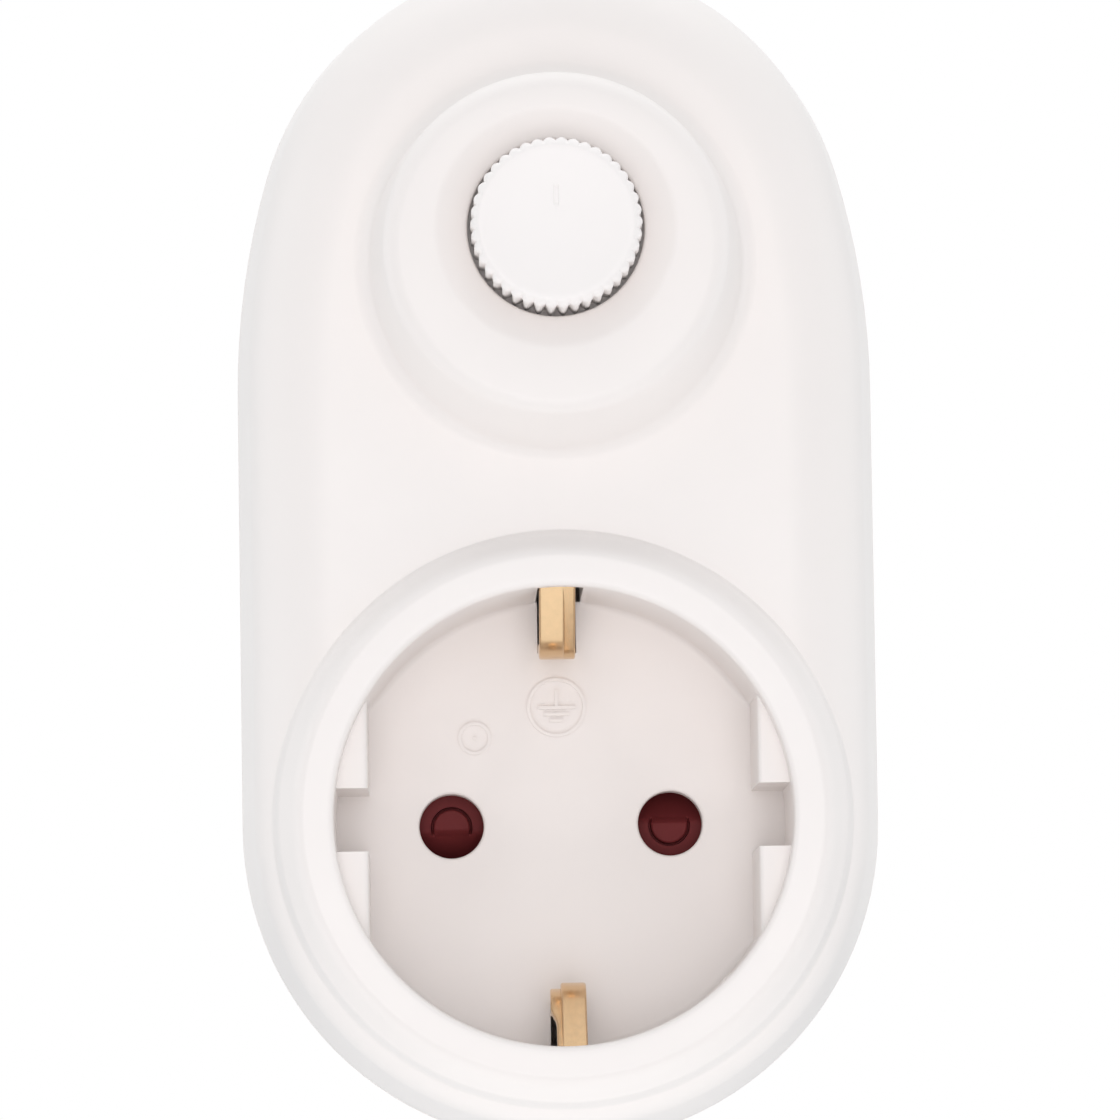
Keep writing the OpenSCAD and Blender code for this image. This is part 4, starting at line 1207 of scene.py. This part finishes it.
def add_camera():
    """Camera at the photograph's place and angle."""
    data = bpy.data.cameras.new("camera")
    data.lens = CAMERA_LENS
    data.sensor_width = SENSOR_W
    data.clip_start = CLIP_START
    camera = bpy.data.objects.new("camera", data)
    ahead = sight_line(CAMERA_TURN, CAMERA_TILT)
    level = Vector((math.cos(CAMERA_TURN), -math.sin(CAMERA_TURN), 0))
    upright = level.cross(ahead)
    right = level * math.cos(CAMERA_ROLL) - upright * math.sin(CAMERA_ROLL)
    up = right.cross(ahead)
    camera.matrix_world = Matrix((right, up, -ahead)).transposed().to_4x4()
    camera.location = CAMERA_AT
    bpy.context.scene.collection.objects.link(camera)
    bpy.context.scene.camera = camera


def add_light(name, side, lift, distance, size, power, colour, mirrored):
    """A round soft lamp, turned to the side and lifted by these degrees as seen from the object."""
    data = bpy.data.lights.new(name, "AREA")
    data.shape = "DISK"
    data.size = size
    data.energy = power
    data.color = colour
    lamp = bpy.data.objects.new(name, data)
    beam = sight_line(-math.radians(side), -math.radians(lift))
    lamp.location = LIGHT_AIM - beam * distance
    lamp.rotation_euler = beam.to_track_quat("-Z", "Y").to_euler()
    lamp.visible_glossy = mirrored
    bpy.context.scene.collection.objects.link(lamp)


def larger(tree, a, b):
    """The larger of two values."""
    node = tree.nodes.new("ShaderNodeMath")
    node.operation = "MAXIMUM"
    tree.links.new(a, node.inputs[0])
    tree.links.new(b, node.inputs[1])
    return node.outputs["Value"]


def add_world():
    """Even surroundings: plain white to the camera and in reflections, softer and cooler as light."""
    world = bpy.data.worlds.new("studio")
    world.use_nodes = True
    bpy.context.scene.world = world
    tree = world.node_tree
    background = tree.nodes["Background"]
    rays = tree.nodes.new("ShaderNodeLightPath").outputs
    direct = larger(tree, rays["Is Camera Ray"], rays["Is Transmission Ray"])
    seen = larger(tree, direct, rays["Is Glossy Ray"])
    level = tree.nodes.new("ShaderNodeMapRange")
    level.inputs["To Min"].default_value = WORLD_LEVEL
    level.inputs["To Max"].default_value = 1.0
    tree.links.new(seen, level.inputs["Value"])
    tree.links.new(level.outputs["Result"], background.inputs["Strength"])
    tint = tree.nodes.new("ShaderNodeMix")
    tint.data_type = "RGBA"
    tint.inputs["A"].default_value = (*WORLD_TINT, 1)
    tint.inputs["B"].default_value = (1, 1, 1, 1)
    tree.links.new(seen, tint.inputs["Factor"])
    tree.links.new(tint.outputs["Result"], background.inputs["Color"])


def add_floor_plane():
    """Plain pale floor below the part."""
    low = cad_box[0][2] - FLOOR_DROP
    corners = [(FLOOR_HALF * x, FLOOR_HALF * y, low) for x, y in ((-1, -1), (1, -1), (1, 1), (-1, 1))]
    mesh = bpy.data.meshes.new("floor")
    mesh.from_pydata(corners, [], [(0, 1, 2, 3)])
    material, shader = new_material("floor_paper", FLOOR_COLOUR, PAPER_ROUGHNESS)
    bump(material, shader, noise(material, *PAPER), PAPER_BUMP, PAPER_DEPTH)
    mesh.materials.append(material)
    floor = bpy.data.objects.new("floor", mesh)
    bpy.context.scene.collection.objects.link(floor)


def set_stage():
    """Camera, surroundings, floor and lamps."""
    bpy.context.scene.view_settings.view_transform = "Standard"
    add_camera()
    add_world()
    add_floor_plane()
    for lamp in LAMPS:
        add_light(*lamp)


def dress_part():
    """Finishes on the CAD nodes, and the finer pieces that replace five of them."""
    materials = make_materials()
    dress_nodes(materials)
    front = front_moulding(materials["housing_plastic"])
    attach(front, "housing")
    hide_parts("front_shell")
    shutter = turning_shutter(materials["shutter_plastic"])
    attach(shutter, "shutter")
    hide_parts("pin_shutter")
    for end, side in (("top", 1), ("bottom", -1)):
        strip = earth_strip(end, materials["brass"], side)
        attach(strip, "housing")
        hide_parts("earth_strip_" + end)
    knob = ribbed_knob(materials["knob_plastic"])
    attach(knob, "knob")
    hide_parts("dimmer_knob")


set_stage()
dress_part()
